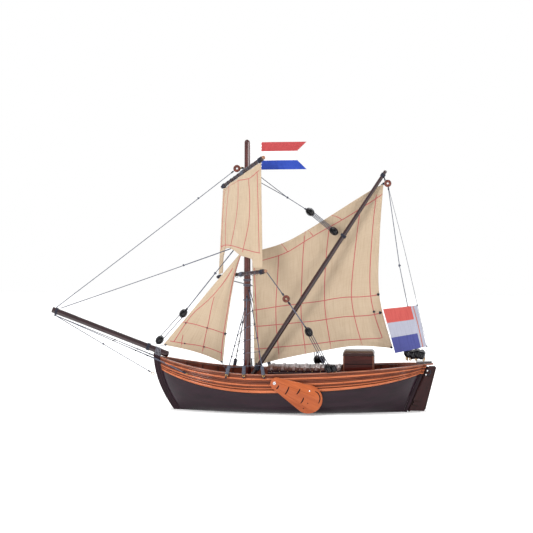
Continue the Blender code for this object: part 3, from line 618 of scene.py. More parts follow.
def part_at(x, z=RAIL_LEVEL):
    """The station that passes through x at a height."""
    fore = stem_edge(z) + STEM_SIDING
    return (x - fore) / (POST_X + POST_RAKE * z - fore)


def deck_z(x):
    return rail_z(part_at(x)) - DECK_DROP


def strake_span(part):
    """The foot and the head of the planking at a station."""
    return strake_foot(part), rail_z(part) - RAIL_HEIGHT - GAP


def lapped_stations(count, short):
    """Each station with its lap: none, but for a last one that laps over the stern post."""
    return [*((part, 0.0) for part in stations(count)), (1.0, POST_SIDING - short)]


# ---- Hull ---------------------------------------------------------------------------------------
def make_lower_hull(look):
    """The dark, smooth, round-bilged bottom."""
    shape = Shape()
    rings = []
    for part in stations(90):
        top = strake_foot(part) - GAP
        half = bilge(part, top, 26)
        near = [Vector((station_x(part, z), -y, z)) for y, z in half]
        far = [Vector((station_x(part, z), y, z)) for y, z in reversed(half)]
        rings.append(near + far)
    shape.rings(rings, caps=False)
    count = len(rings[0])
    for first in (0, len(shape.points) - count):
        for level in range(count // 2 - 1):
            shape.faces.append((first + level, first + level + 1,
                                first + count - 2 - level, first + count - 1 - level))
            shape.slots.append(0)
    shape.piece("lower_hull", [look["hull"]], "root", "dark_hull", ["hull_shell"], 35)


# foot and head as shares of the strakes' depth, how far it stands proud, and its stain; the dark
# ones are partly dark wood and partly painted shade below the proud light planks
PLANKS = ((0.015, 0.172, 0.0012, "light"), (0.182, 0.222, -0.0003, "dark"),
          (0.232, 0.300, 0.0007, "light"), (0.310, 0.398, 0.0000, "dark"),
          (0.408, 0.520, 0.0014, "light"), (0.530, 0.634, 0.0003, "dark"),
          (0.644, 0.745, 0.0003, "dark"), (0.755, 0.872, 0.0014, "light"),
          (0.882, 1.000, 0.0002, "dark"))


def make_strakes(look):
    """Light and dark planks laid by turns, the light ones standing proud as wales; the dark colour
    is partly dark wood and partly painted shade below them.
    """
    for label, side in SIDES:
        shape = Shape()
        for low, high, proud, kind in PLANKS:
            rings = []
            for part, lap in lapped_stations(72, 0.0005):
                foot, head = strake_span(part)
                clear = 0.0008 if is_fore(part) else POST_HALF + GAP
                inner = max(half_beam(part) - wall(part), clear)
                z0, z1 = foot + (head - foot) * low, foot + (head - foot) * high
                soft = 0.2
                ring = []
                for level, out in ((0.0, proud - 0.0007), (soft * 0.35, proud - 0.0002),
                                   (soft, proud), (0.5, proud + 0.00015), (1 - soft, proud),
                                   (1 - soft * 0.35, proud - 0.0002), (1.0, proud - 0.0007)):
                    z = z0 + (z1 - z0) * level
                    y = max(half_beam(part) + out, inner + 0.0002)
                    ring.append(Vector((station_x(part, z) + lap, side * y, z)))
                for z in (z1, z0):
                    ring.append(Vector((station_x(part, z) + lap, side * inner, z)))
                rings.append(ring)
            # dark planks: partly dark wood, partly painted shade below the proud light planks
            shape.rings(rings, 1 if kind == "dark" else 0)
        rings = []
        for part, lap in lapped_stations(60, 0.0006):
            foot, head = strake_span(part)
            clear = 0.0009 if is_fore(part) else POST_HALF + 1.5 * GAP
            inner = max(half_beam(part) - wall(part) + 0.0002, clear)
            outer = max(half_beam(part) - 0.0012, inner + 0.0001)
            rings.append([Vector((station_x(part, z) + lap, side * y, z))
                          for y, z in ((outer, foot + 0.0002), (outer, head - 0.0002),
                                       (inner, head - 0.0002), (inner, foot + 0.0002))])
        shape.rings(rings, 2)
        shape.piece("%s_planks" % label, [look["plank"], look["wale"], look["groove"]], "root",
                    "warm_plank", ["%s_strakes" % label], 50)

        pegs = Shape()
        for low, high, proud, kind in PLANKS:
            if kind == "dark" or high - low < 0.1:
                continue
            middle = (low + high) / 2
            for number in range(13):
                x = -0.112 + 0.0295 * number + 0.008 * low
                part = part_at(x)
                foot, head = strake_span(part)
                z = foot + (head - foot) * middle
                place = hull_point(part, z, side, proud + 0.0001)
                ahead = hull_point(min(part + 0.004, 1), z, side, proud)
                along = (ahead - place).normalized()
                outward = Vector((along.y, -along.x, 0)) * (1 if side * -along.x > 0 else -1)
                ball(pegs, place, (along * 0.00055, Vector((0, 0, 0.00055)), outward * 0.00018), 0,
                     10, 5)
        pegs.piece("%s_plank_pegs" % label, [look["peg"]], "root", "brown_wood")


def rail_section(x, z, side, outer, inner):
    """The cap rail's section with its edges rounded, z being its top."""
    soft = min(0.0007, (outer - inner) * 0.3)
    return [Vector((x, side * y, height)) for y, height in (
        (outer - soft, z - RAIL_HEIGHT), (outer, z - RAIL_HEIGHT + soft),
        (outer, z - soft), (outer - soft * 0.3, z - soft * 0.3), (outer - soft, z),
        (inner + soft, z), (inner + soft * 0.3, z - soft * 0.3), (inner, z - soft),
        (inner, z - RAIL_HEIGHT + soft), (inner + soft, z - RAIL_HEIGHT))]


# how far behind the last station, and the half-width there
RAIL_OVERHANG = ((0.004, 0.0085), (0.010, 0.0072), (0.0148, 0.0046))


def make_rails(look):
    """Rounded cap rails that overhang the stern."""
    for label, side in SIDES:
        shape = Shape()
        rings = []
        for part in stations(80):
            z = rail_z(part)
            x = station_x(part, z)
            outer = half_beam(part) + RAIL_OUT
            inner = max(half_beam(part) - wall(part) - 0.0006, 0.0008)
            rings.append(rail_section(x, z, side, outer, inner))
        for shift, outer in RAIL_OVERHANG:
            rings.append(rail_section(x + shift, z + shift * 0.05, side, outer, 0.0008))
        shape.rings(rings)
        shape.piece("%s_rail" % label, [look["rail"]], "root", "warm_plank",
                    ["%s_cap_rail" % label], 50)


def make_ceiling(look):
    """The reddish inside of the bulwarks above the deck, with timberheads along it."""
    shape = Shape()
    for side in (PORT, STARBOARD):
        rings = []
        for part in stations(60, 0.035, 0.962):
            top = rail_z(part) - RAIL_HEIGHT - GAP
            outer = half_beam(part) - wall(part) - 0.00005
            rings.append([Vector((station_x(part, z), side * y, z)) for y, z in (
                (outer, top - 0.0118), (outer, top - 0.0004), (outer - 0.0006, top - 0.0004),
                (outer - 0.0007, top - 0.0118))])
        shape.rings(rings, 0)
        for number in range(15):
            x = -0.098 + 0.0235 * number
            part = part_at(x)
            top = rail_z(part) - RAIL_HEIGHT - GAP
            y = half_beam(part) - wall(part) - 0.0008
            low, high = Vector((x, side * y, top - 0.0117)), Vector((x, side * y, top - 0.0006))
            rings = [[centre + Vector((dx * 0.0011, side * dy * 0.0008, 0))
                      for dx, dy in ((-1, -1), (-0.7, -1.3), (0.7, -1.3), (1, -1), (1, 1), (-1, 1))]
                     for centre in (low, low.lerp(high, 0.5), high)]
            shape.rings(rings, 1)
    shape.piece("bulwark_ceiling", [look["ceiling"], look["brown"]], "root", "brown_wood")


# ---- Sails and flags ----------------------------------------------------------------------------
CLOTH = 0.0008
THROAT, PEAK = Vector((0.0078, 0.0, 0.2465)), Vector((0.2105, -0.0035, 0.352))
TACK, CLEW = Vector((0.0112, 0.0, 0.0685)), Vector((0.226, 0.003, 0.098))
STAY_TACK, STAY_HEAD = Vector((-0.132, 0.0, 0.1005)), Vector((-0.0085, -0.0065, 0.246))
STAY_CLEW = Vector((-0.0385, -0.002, 0.0735))
TOP_YARD = (Vector((-0.042, 0.025, 0.347)), Vector((0.0295, -0.040, 0.393)))
LOWER_YARD = (Vector((-0.050, 0.030, 0.2055)), Vector((0.033, -0.042, 0.219)))
OUTWARD = Vector((-0.655, -0.755, 0.0))


def on_curve(points, part):
    """A point of the smooth curve through a few given points."""
    last = len(points) - 1
    place = min(max(part, 0.0), 1.0) * last
    index = min(int(place), last - 1)
    before, start = points[max(index - 1, 0)], points[index]
    end, after = points[index + 1], points[min(index + 2, last)]
    return between(before, start, end, after, place - index)


MAIN_HEAD = [THROAT, Vector((0.052, 0, 0.259)), Vector((0.093, 0, 0.280)),
             Vector((0.183, -0.002, 0.337)), PEAK]
MAIN_FOOT = [TACK, Vector((0.055, 0.001, 0.0805)), Vector((0.113, 0.002, 0.0925)),
             Vector((0.170, 0.003, 0.1012)), CLEW]
MAIN_LEECH = [PEAK, Vector((0.205, -0.002, 0.270)), Vector((0.205, 0, 0.180)), CLEW]
STAY_LEECH = [STAY_HEAD, Vector((-0.021, -0.0065, 0.200)), Vector((-0.0325, -0.006, 0.125)),
              STAY_CLEW]
STAY_FOOT = [STAY_TACK, Vector((-0.100, 0, 0.0945)), Vector((-0.067, -0.001, 0.0855)), STAY_CLEW]
ARCH = ((0.0, 0.0), (0.11, 0.001), (0.13, 0.026), (0.22, 0.0385), (0.33, 0.0385), (0.465, 0.0325),
        (0.59, 0.0245), (0.82, 0.0168), (0.845, 0.003), (1.0, 0.0022))


def fold(u, v, seed, across=7.0, along=1.3):
    """Long soft unevenness of cloth that hangs under light tension, about -1 to 1."""
    first = noise.noise(Vector((u * across, v * along, seed)))
    second = noise.noise(Vector((u * across * 2.7, v * along * 2.1, seed + 7.3)))
    return first * 1.3 + 0.45 * second


def main_place(u, v):
    edge_v, edge_u = math.sin(math.pi * v), math.sin(math.pi * u)
    across = on_curve(MAIN_HEAD, u) * (1 - v) + on_curve(MAIN_FOOT, u) * v
    down = (THROAT.lerp(TACK, v)) * (1 - u) + on_curve(MAIN_LEECH, v) * u
    corners = (THROAT * (1 - u) * (1 - v) + PEAK * u * (1 - v) + TACK * (1 - u) * v + CLEW * u * v)
    belly = 0.009 * edge_u * max(edge_v, 0.0) ** 0.8
    soft = 0.0011 * fold(u, v, 1.5) * min(1.0, 0.25 + 3 * edge_u)
    # creases that run out from the throat, the clew and the tack
    crease = 0.0
    for corner_u, corner_v, rays in ((0.0, 0.0, 5), (1.0, 1.0, 6), (0.0, 1.0, 4)):
        du, dv = u - corner_u, (v - corner_v) * 0.8
        far = math.hypot(du, dv)
        angle = math.atan2(dv, du)
        crease += 0.0006 * math.sin(rays * 2 * angle + 1.1) * math.exp(-4.0 * far) * min(1, far * 9)
    return across + down - corners + Vector((0, belly + soft + crease, 0))


def stay_place(u, v):
    v = 0.03 + 0.97 * v
    across = STAY_HEAD.lerp(on_curve(STAY_FOOT, u), v)
    edge = on_curve(STAY_LEECH, v)
    straight = STAY_HEAD.lerp(STAY_CLEW, v)
    belly = 0.005 * math.sin(math.pi * u) * math.sin(math.pi * v)
    soft = 0.0009 * fold(u, v, 4.2, 4.0, 1.0) * math.sin(math.pi * min(max(v, 0.0), 1.0)) ** 0.5
    return across + (edge - straight) * u + Vector((0, -belly - soft, 0))


def top_rise(u):
    for (start, low), (end, high) in zip(ARCH, ARCH[1:]):
        if u <= end:
            return low + (high - low) * (u - start) / (end - start)
    return ARCH[-1][1]


def top_place(u, v):
    drop = Vector((0, 0, 0.0042))
    top = TOP_YARD[0].lerp(TOP_YARD[1], 0.03 + 0.90 * u) - drop
    foot = LOWER_YARD[0].lerp(LOWER_YARD[1], 0.03 + 0.90 * u) + drop
    soft_rise = (top_rise(max(u - 0.008, 0)) + 2 * top_rise(u) + top_rise(min(u + 0.008, 1))) / 4
    foot = foot + Vector((0, 0, soft_rise))
    edge = max(math.sin(math.pi * u), 0.0)
    belly = 0.010 * edge ** 0.8 * math.sin(math.pi * (0.08 + 0.62 * v))
    soft = 0.0012 * fold(u, v, 9.1, 6.0, 0.9) * min(1.0, 0.35 + 2 * edge)
    scallop = 0.0010 * abs(math.sin(math.pi * 4.5 * u)) * (1 - v) ** 6
    return top.lerp(foot, v) + OUTWARD * (belly + soft) - Vector((0, 0, scallop))


# heights of the topsail's lower band at shares of its width
TOP_BAND = [Vector((0, 0, 0.2535)), Vector((0.25, 0, 0.2570)), Vector((0.50, 0, 0.2548)),
            Vector((0.75, 0, 0.2500)), Vector((1.0, 0, 0.2464))]


def top_at_height(u, heights):
    """The point of the topsail at a share of its width and a height."""
    target = on_curve(heights, u).z
    low, high = 0.0, 1.0
    for _ in range(24):
        middle = (low + high) / 2
        if top_place(u, middle).z > target:
            low = middle
        else:
            high = middle
    return top_place(u, low)


def make_cloth(name, place, columns, rows, size, looks, body, slot, replaces, facing, hems=(),
               bands=None):
    """A closed sheet of cloth with thicker hems; its UVs are in metres.

    hems are tests of (u, v) that say where the cloth is thicker; bands gives the slot at (u, v).
    """
    us = [column / columns for column in range(columns + 1)]
    vs = [row / rows for row in range(rows + 1)]
    middle = np.array([[tuple(place(u, v)) for u in us] for v in vs])
    along_u = np.gradient(middle, axis=1)
    along_v = np.gradient(middle, axis=0)
    normal = np.cross(along_u, along_v)
    length = np.linalg.norm(normal, axis=2, keepdims=True)
    normal = normal / np.maximum(length, 1e-12)
    flip = np.sign(normal @ np.array(facing))
    normal *= np.where(flip == 0, 1, flip)[..., None]
    half = np.array([[CLOTH / 2 + (0.00022 if any(test(u, v) for test in hems) else 0.0)
                      for u in us] for v in vs])[..., None]
    points = np.concatenate(((middle + normal * half).reshape(-1, 3),
                             (middle - normal * half).reshape(-1, 3)))
    wide, other = columns + 1, (columns + 1) * (rows + 1)
    faces, slots = [], []
    for row in range(rows):
        for column in range(columns):
            corner = row * wide + column
            near = (corner, corner + 1, corner + wide + 1, corner + wide)
            faces += [near, tuple(index + other for index in reversed(near))]
            slot_here = bands((us[column] + us[column + 1]) / 2,
                              (vs[row] + vs[row + 1]) / 2) if bands else 0
            slots += [slot_here, slot_here]
    border = [*range(wide), *range(2 * wide - 1, other, wide),
              *range(other - 2, other - wide - 1, -1), *range(other - 2 * wide, 0, -wide)]
    for index, start in enumerate(border):
        after = border[(index + 1) % len(border)]
        faces.append((start, start + other, after + other, after))
        slots.append(slots[0] if not bands else bands(us[start % wide], vs[start // wide]))
    shape = Shape()
    shape.points, shape.faces, shape.slots = [tuple(point) for point in points], faces, slots
    made = shape.piece(name, looks, body, slot, replaces, 50)
    layer = made.data.uv_layers.new(name="UVMap")
    corners = np.zeros(len(made.data.loops), np.int32)
    made.data.loops.foreach_get("vertex_index", corners)
    flat = np.array([(u * size[0], v * size[1]) for v in vs for u in us])
    layer.data.foreach_set("uv", flat[corners % other].astype(np.float32).ravel())
    return made


def seam(shape, place, stops, radius=0.00082, slot=0, facing=(0, 1, 0), steps=90):
    """A corded seam that runs over the cloth through (u, v) stops and shows on both faces."""
    facing = Vector(facing).normalized()
    stops = [Vector((u, v, 0)) for u, v in stops]
    route = []
    for index in range(steps + 1):
        at = on_curve(stops, index / steps)
        route.append(place(min(max(at.x, 0.0), 1.0), min(max(at.y, 0.0), 1.0)))
    line(shape, route, radius, slot, 8, flat=(facing, 0.86))


MAIN_SEAMS = (
    ((0.02, 0.10), (0.031, 0.275), (0.06, 0.84), (0.07, 1.0)),
    ((0.235, 0.10), (0.229, 0.30), (0.219, 0.55), (0.225, 1.0)),
    ((0.49, 0.0), (0.474, 0.13), (0.431, 0.65), (0.406, 1.0)),
    ((0.60, 0.10), (0.591, 0.38), (0.586, 0.70), (0.575, 1.0)),
    ((0.735, 0.10), (0.742, 0.40), (0.752, 0.73), (0.788, 1.0)),
    ((0.872, 0.07), (0.883, 0.40), (0.90, 0.73), (0.925, 0.915)),
    ((0.0, 0.508), (0.238, 0.542), (0.454, 0.581), (0.608, 0.631), (0.765, 0.673),
     (0.88, 0.674), (1.0, 0.658)),
    ((0.0, 0.648), (0.235, 0.696), (0.419, 0.727), (0.592, 0.762), (0.754, 0.788),
     (0.88, 0.782), (1.0, 0.756)),
    ((0.0, 0.848), (0.204, 0.881), (0.40, 0.908), (0.577, 0.927), (0.75, 0.940),
     (0.88, 0.926), (0.925, 0.915)),
    ((0.0, 0.098), (0.12, 0.10), (0.32, 0.106), (0.525, 0.094), (0.706, 0.112), (1.0, 0.086)),
    ((0.256, 0.0), (0.325, 0.106)),
    ((0.505, 0.0), (0.531, 0.094)),
    ((0.606, 0.0), (0.650, 0.108)),
)
STAY_SEAMS = (
    ((0.60, 0.17), (0.469, 0.312), (0.24, 0.49), (0.106, 0.625), (0.11, 0.78), (0.138, 0.944)),
    ((0.375, 0.45), (0.46, 0.57), (0.531, 0.694), (0.625, 1.0)),
    ((0.194, 0.856), (0.294, 1.0)),
    ((0.90, 0.0), (0.913, 0.312), (0.925, 0.5), (0.92, 0.70), (0.95, 1.0)),
    ((0.0, 0.742), (0.27, 0.728), (0.538, 0.719), (1.0, 0.688)),
    ((0.07, 0.948), (0.30, 0.938), (0.581, 0.906), (1.0, 0.872)),
)
TOP_SEAMS = (
    ((0.0, 0.034), (0.20, 0.040), (0.456, 0.046), (0.712, 0.098), (0.919, 0.072), (1.0, 0.06)),
    ((0.035, 0.034), (0.045, 0.40), (0.055, 0.72)),
    ((0.20, 0.04), (0.216, 0.50), (0.231, 0.99)),
    ((0.438, 0.045), (0.50, 0.30), (0.49, 0.55), (0.36, 0.965)),
    ((0.719, 0.098), (0.770, 0.36), (0.755, 0.62), (0.640, 0.95)),
    ((0.92, 0.072), (0.945, 0.40), (0.955, 0.865)),
)


def make_sails(look):
    main = make_cloth(
        "mainsail_cloth", main_place, 150, 150, (0.214, 0.215), [look["linen"]], "mainsail",
        "linen", ["mainsail"], (0, 1, 0),
        hems=(lambda u, v: v < 0.045, lambda u, v: v > 0.952, lambda u, v: u < 0.022,
              lambda u, v: u > 0.972))
    seams = Shape()
    for stops in MAIN_SEAMS:
        seam(seams, main_place, stops)
    for u, v, size in ((0.985, 0.660, 0.0017), (0.965, 0.764, 0.0019), (0.905, 0.762, 0.0014)):
        for side in SIDES:
            centre = main_place(u, v) + Vector((0, side[1] * 0.0016, 0))
            tied_knot(seams, centre, size, 0.0006, 1)
    main_seams = seams.piece("mainsail_seams", [look["red_cord"], look["dark_thread"]], "mainsail",
                             "linen")
    ropes = Shape()
    for stops in (((0.004, 0), (0.004, 0.5), (0.004, 1)), ((0, 0.005), (0.3, 0.005), (0.6, 0.005),
                                                         (1, 0.005)),
                  ((0.996, 0), (0.996, 0.33), (0.996, 0.66), (0.996, 1)),
                  ((0, 0.995), (0.3, 0.995), (0.6, 0.995), (1, 0.995))):
        seam(ropes, main_place, stops, 0.00062, 0, steps=120)
    main_ropes = ropes.piece("mainsail_bolt_rope", [look["bolt_rope"]], "mainsail", "rope")

    stay = make_cloth(
        "staysail_cloth", stay_place, 80, 130, (0.095, 0.175), [look["linen"]], "staysail",
        "linen", ["staysail"], (0, -1, 0),
        hems=(lambda u, v: v > 0.955, lambda u, v: u > 0.955, lambda u, v: u < 0.03))
    seams = Shape()
    for stops in STAY_SEAMS:
        seam(seams, stay_place, stops, 0.00078)
    for y in (-1, 1):
        tied_knot(seams, stay_place(0.985, 0.690) + Vector((0, y * 0.0015, 0)), 0.0016, 0.0006, 1)
        for u, v in ((0.10, 0.742), (0.54, 0.719), (0.30, 0.938), (0.61, 0.905)):
            tied_knot(seams, stay_place(u, v) + Vector((0, y * 0.0011, 0)), 0.0009, 0.00040, 1)
    stay_seams = seams.piece("staysail_seams", [look["red_cord"], look["dark_thread"]], "staysail",
                             "linen")
    ropes = Shape()
    for stops in (((0.006, 0), (0.006, 1)), ((0.994, 0), (0.994, 0.33), (0.994, 0.66), (0.994, 1)),
                  ((0, 0.995), (0.5, 0.995), (1, 0.995))):
        seam(ropes, stay_place, stops, 0.0006, 0)
    stay_ropes = ropes.piece("staysail_bolt_rope", [look["bolt_rope"]], "staysail", "rope")

    top = make_cloth(
        "topsail_cloth", top_place, 110, 100, (0.098, 0.14), [look["linen"]], "topsail", "linen",
        ["topsail"], tuple(OUTWARD),
        hems=(lambda u, v: v < 0.05, lambda u, v: v > 0.965, lambda u, v: u < 0.04,
              lambda u, v: u > 0.96))
    seams = Shape()
    for stops in TOP_SEAMS:
        seam(seams, top_place, stops, 0.00078, 0, tuple(OUTWARD))
    route = [top_at_height(0.012 + 0.976 * step / 120, TOP_BAND) for step in range(121)]
    line(seams, route, 0.00078, 0, 8, flat=(OUTWARD, 0.86))
    top_seams = seams.piece("topsail_seams", [look["red_cord"]], "topsail", "linen")
    ropes = Shape()
    for stops in (((0.005, 0), (0.005, 1)), ((0.995, 0), (0.995, 1)),
                  ((0, 0.004), (0.5, 0.004), (1, 0.004)), ((0, 0.996), (0.5, 0.996), (1, 0.996))):
        seam(ropes, top_place, stops, 0.00058, 0, tuple(OUTWARD), 220)
    top_ropes = ropes.piece("topsail_bolt_rope", [look["bolt_rope"]], "topsail", "rope")


# the pennant's length, the depth of its notch, and the width of the white panel at the mast
PENNANT_FLY, PENNANT_NOTCH, PENNANT_HOIST = 0.0865, 0.022, 0.0165


def pennant_length(v):
    """How far the swallow-tailed pennant reaches at a share of its height."""
    return PENNANT_FLY - PENNANT_NOTCH * (1 - abs(2 * v - 1))


def pennant_place(u, v):
    x = 0.0055 + u * pennant_length(v)
    ripple = 0.0011 * u * math.sin(13 * u + 2.0 * v) + 0.0007 * fold(u, v, 3.3, 3.0, 2.0)
    return Vector((x, 0.002 * math.sin(9 * u) + ripple, 0.4165 - 0.0425 * v + 0.001 * u))


# the vangs and the ensign run between the hull and the mainsail and are attached to neither
# the ensign's corners: its fly and its hoist at the top, then the same at the bottom
ENSIGN = (Vector((0.2112, -0.0145, 0.160)), Vector((0.263, -0.0145, 0.166)),
          Vector((0.2302, -0.0155, 0.092)), Vector((0.278, -0.0155, 0.103)))


def ensign_place(u, v):
    wave = 0.0012 * math.sin(2.6 * math.pi * u + 0.6 * v) + 0.0008 * fold(u, v, 6.4, 2.5, 2.0)
    return (ENSIGN[0].lerp(ENSIGN[1], u).lerp(ENSIGN[2].lerp(ENSIGN[3], u), v)
            + Vector((0, wave, 0)))


def make_flags(look):
    def pennant_bands(u, v):
        hoist = PENNANT_HOIST / pennant_length(v)
        return 1 if u < hoist else (0 if v < 0.335 else 1 if v < 0.665 else 2)

    looks = [look["flag_red"], look["flag_white"], look["flag_blue"]]
    pennant = make_cloth("pennant_cloth", pennant_place, 72, 60, (0.087, 0.0425), looks, "root",
                         "flag_cloth", ["pennant"], (0, 1, 0),
                         hems=(lambda u, v: u < 0.05,), bands=pennant_bands)

    def ensign_bands(u, v):
        return 1 if u > 0.82 else (0 if v < 0.315 else 1 if v < 0.655 else 2)

    looks = [look["ensign_red"], look["ensign_white"], look["ensign_blue"]]
    ensign = make_cloth("ensign_cloth", ensign_place, 50, 66, (0.052, 0.07), looks, None,
                        "flag_cloth", ["ensign"], (0, 1, 0),
                        hems=(lambda u, v: u > 0.82,), bands=ensign_bands)
    cord = Shape()
    for side in (PORT, STARBOARD):
        def beside(u, v, away=0.0007 * side):
            return ensign_place(u, v) + Vector((0, away, 0))

        seam(cord, beside, ((0.885, 0.01), (0.90, 0.5), (0.885, 0.99)), 0.0006, 0)
    stitch = cord.piece("ensign_hoist_cord", [look["orange_cord"]], None, "flag_cloth")
    for piece in (ensign, stitch):
        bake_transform(piece)


# ---- Rigging ------------------------------------------------------------------------------------
ROPE, THREAD = 0.0006, 0.00045
MAST_TOP, MAST_RADII = 0.421, (0.0063, 0.0042)
BOWSPRIT = (Vector((-0.308, 0.0, 0.1545)), Vector((-0.1235, 0.0, 0.0852)))
SPRIT = (Vector((0.010, -0.0125, 0.057)), Vector((0.215, -0.008, 0.373)))
SHROUD_FEET, SHROUD_HEADS, SHROUD_FOOT_Z = (-0.027, 0.0, 0.031), (0.172, 0.195, 0.203), 0.0585
MAST_RING, PEAK_RING = Vector((-0.016, 0.0, 0.376)), Vector((0.2175, -0.004, 0.353))
STAY_BLOCK_LOW, STAY_BLOCK_HIGH = Vector((-0.138, 0.0, 0.108)), Vector((-0.1005, 0.0, 0.150))
BRACE_RING, BRACE_HIGH = Vector((0.064, -0.044, 0.177)), Vector((0.099, -0.050, 0.127))
BRACE_LOW = Vector((0.129, -0.054, 0.0715))
STARBOARD_BRACE_LOW = Vector((0.106, 0.054, 0.0730))
SPAN_BLOCK, SPRIT_BLOCK = Vector((0.098, -0.004, 0.309)), Vector((0.135, -0.0085, 0.2795))
VANG_KNOT, VANG_BLOCK = Vector((0.236, -0.001, 0.2265)), Vector((0.264, -0.009, 0.0905))
BOW_EYE, BOW_CORNER = Vector((-0.090, -0.0405, 0.060)), Vector((-0.1335, -0.0145, 0.0755))
STEM_EYE = Vector((-0.1480, 0.0, 0.055))
UP = Vector((0, 0, 1))
# each yard with its radius at its first and at its second end
YARDS = ((TOP_YARD, (0.0029, 0.0032)), (LOWER_YARD, (0.0026, 0.0030)))


def mirrored(point):
    return Vector((point.x, -point.y, point.z))


# what turns a place given for the port side into one for each side
MIRRORS = ((Vector, PORT), (mirrored, STARBOARD))


def mast_radius(z):
    part = z / MAST_TOP
    return MAST_RADII[0] * (1 - part) + MAST_RADII[1] * part


def to_mast(start, height):
    head = Vector((0.0, 0.0, height))
    outward = (start - head).to_2d().length
    return head.lerp(start, (mast_radius(height) + 0.0012) / outward)


def tackle(shape, start, end, leave, lines=4, spread=0.0019, slot=1):
    """The parts of a fall between two blocks."""
    along = (end - start).normalized()
    side = along.cross(Vector((0, 1, 0))).normalized()
    for index in range(lines):
        shift = side * spread * (index - (lines - 1) / 2)
        rope(shape, hung(start + along * leave * 0.7 + shift, end - along * leave * 0.7 + shift,
                         0.001), ROPE * 1.05, slot)


def make_shrouds(look):
    for label, side in SIDES:
        shape, metalwork = Shape(), Shape()
        runs = []
        for index, (foot_x, head_z) in enumerate(zip(SHROUD_FEET, SHROUD_HEADS)):
            foot_y = BEAM_HALF + RAIL_OUT + 0.0016 - (0.0032, 0.0012, 0.0)[index]
            foot = Vector((foot_x, side * foot_y, SHROUD_FOOT_Z))
            head = to_mast(foot, head_z)
            runs.append((foot, head))
            along = (head - foot).normalized()
            rope(shape, hung(foot + along * 0.002, head, 0.0015), ROPE * 1.25)
            wraps(shape, foot + along * 0.0098, along, 0.0015, 9, 0.00080, 0)
            rope(shape, hung(foot + along * 0.003 + Vector((0.0013, 0, 0)),
                             foot + along * 0.016 + Vector((0.0004, 0, 0)), 0), THREAD)
            eyebolt(metalwork, foot + along * 0.0016, (0, 1, 0), along, 0.0016, 0.00065, 0.0028)
            ball(shape, foot - along * 0.0016, (Vector((0.0017, 0, 0)), Vector((0, 0.0015, 0)),
                                                Vector((0, 0, 0.0015))), 1, 16, 10)
            # the eye of the shroud lies round the mast
            around = mast_radius(head_z) + 0.0005
            loop = [Vector((around * math.cos(turn), around * math.sin(turn),
                            head_z + 0.0012 * math.cos(turn - math.pi / 2 * side)))
                    for turn in full_turn(30)]
            line(shape, loop, ROPE, 0, 8, loop=True)
            wraps(shape, head - along * 0.003, along, 0.0007, 5, 0.00036, 1)
        for step in range(5):
            part = 0.13 + 0.155 * step
            places = [foot.lerp(head, part) for foot, head in runs]
            for start, end in zip(places, places[1:]):
                rope(shape, hung(start, end, 0.012), THREAD * 0.9)
            for place, (foot, head) in zip(places, runs):
                wraps(shape, place, head - foot, 0.0006, 3, 0.00036, 1)
        shape.piece("%s_rigging_shrouds" % label, [look["rope"], look["dark_thread"]], "root",
                    "rope", ["%s_shrouds" % label], 60)
        metalwork.piece("%s_shroud_eyes" % label, [look["brass"]], "root", "silver_pin", (), 60)


def bullseye(shape, centre, facing):
    """A turned thimble: a fat ring with a score round its rim and rounded lips to its hole."""
    facing = Vector(facing).normalized()
    side, other = frame_along(facing)
    rings = []
    for turn in full_turn(44):
        out = side * math.cos(turn) + other * math.sin(turn)
        ring = []
        for swing in full_turn(18):
            reach_out = 0.0038 + 0.0024 * math.cos(swing)
            if abs(math.sin(swing)) < 0.35 and math.cos(swing) > 0:
                reach_out -= 0.00045
            ring.append(Vector(centre) + out * reach_out + facing * 0.0024 * math.sin(swing))
        rings.append(ring)
    shape.rings(rings, 0, loop=True)


def make_masthead(look):
    ring = Shape()
    bullseye(ring, MAST_RING, (0, 1, 0))
    ring.piece("masthead_bullseye", [look["ring"]], "root", "ring_wood", ["masthead_ring"], 60)
    tie = Shape()
    line(tie, smooth_route([MAST_RING + Vector((0.0046, 0, 0.0010)), MAST_RING + Vector(
        (0.0080, 0, 0.0022)), MAST_RING + Vector((0.0118, 0, 0.0005))], 0.0005), 0.0006, 1, 8)
    torus(tie, MAST_RING + Vector((0.0062, 0, 0.0004)), (1, 0, 0.2), 0.0013, 0.0005, 1, 18, 8)
    wraps(tie, MAST_RING + Vector((0.0088, 0, 0.0008)), (1, 0, -0.1), 0.0009, 5, 0.0004, 0)
    around = mast_radius(0.376) + 0.0004
    line(tie, [Vector((around * math.cos(turn), around * math.sin(turn), 0.3765))
               for turn in full_turn(30)], 0.0005, 0, 8, loop=True)
    tie.piece("masthead_strop", [look["dark_thread"], look["brass"]], "root", "rope", (), 60)


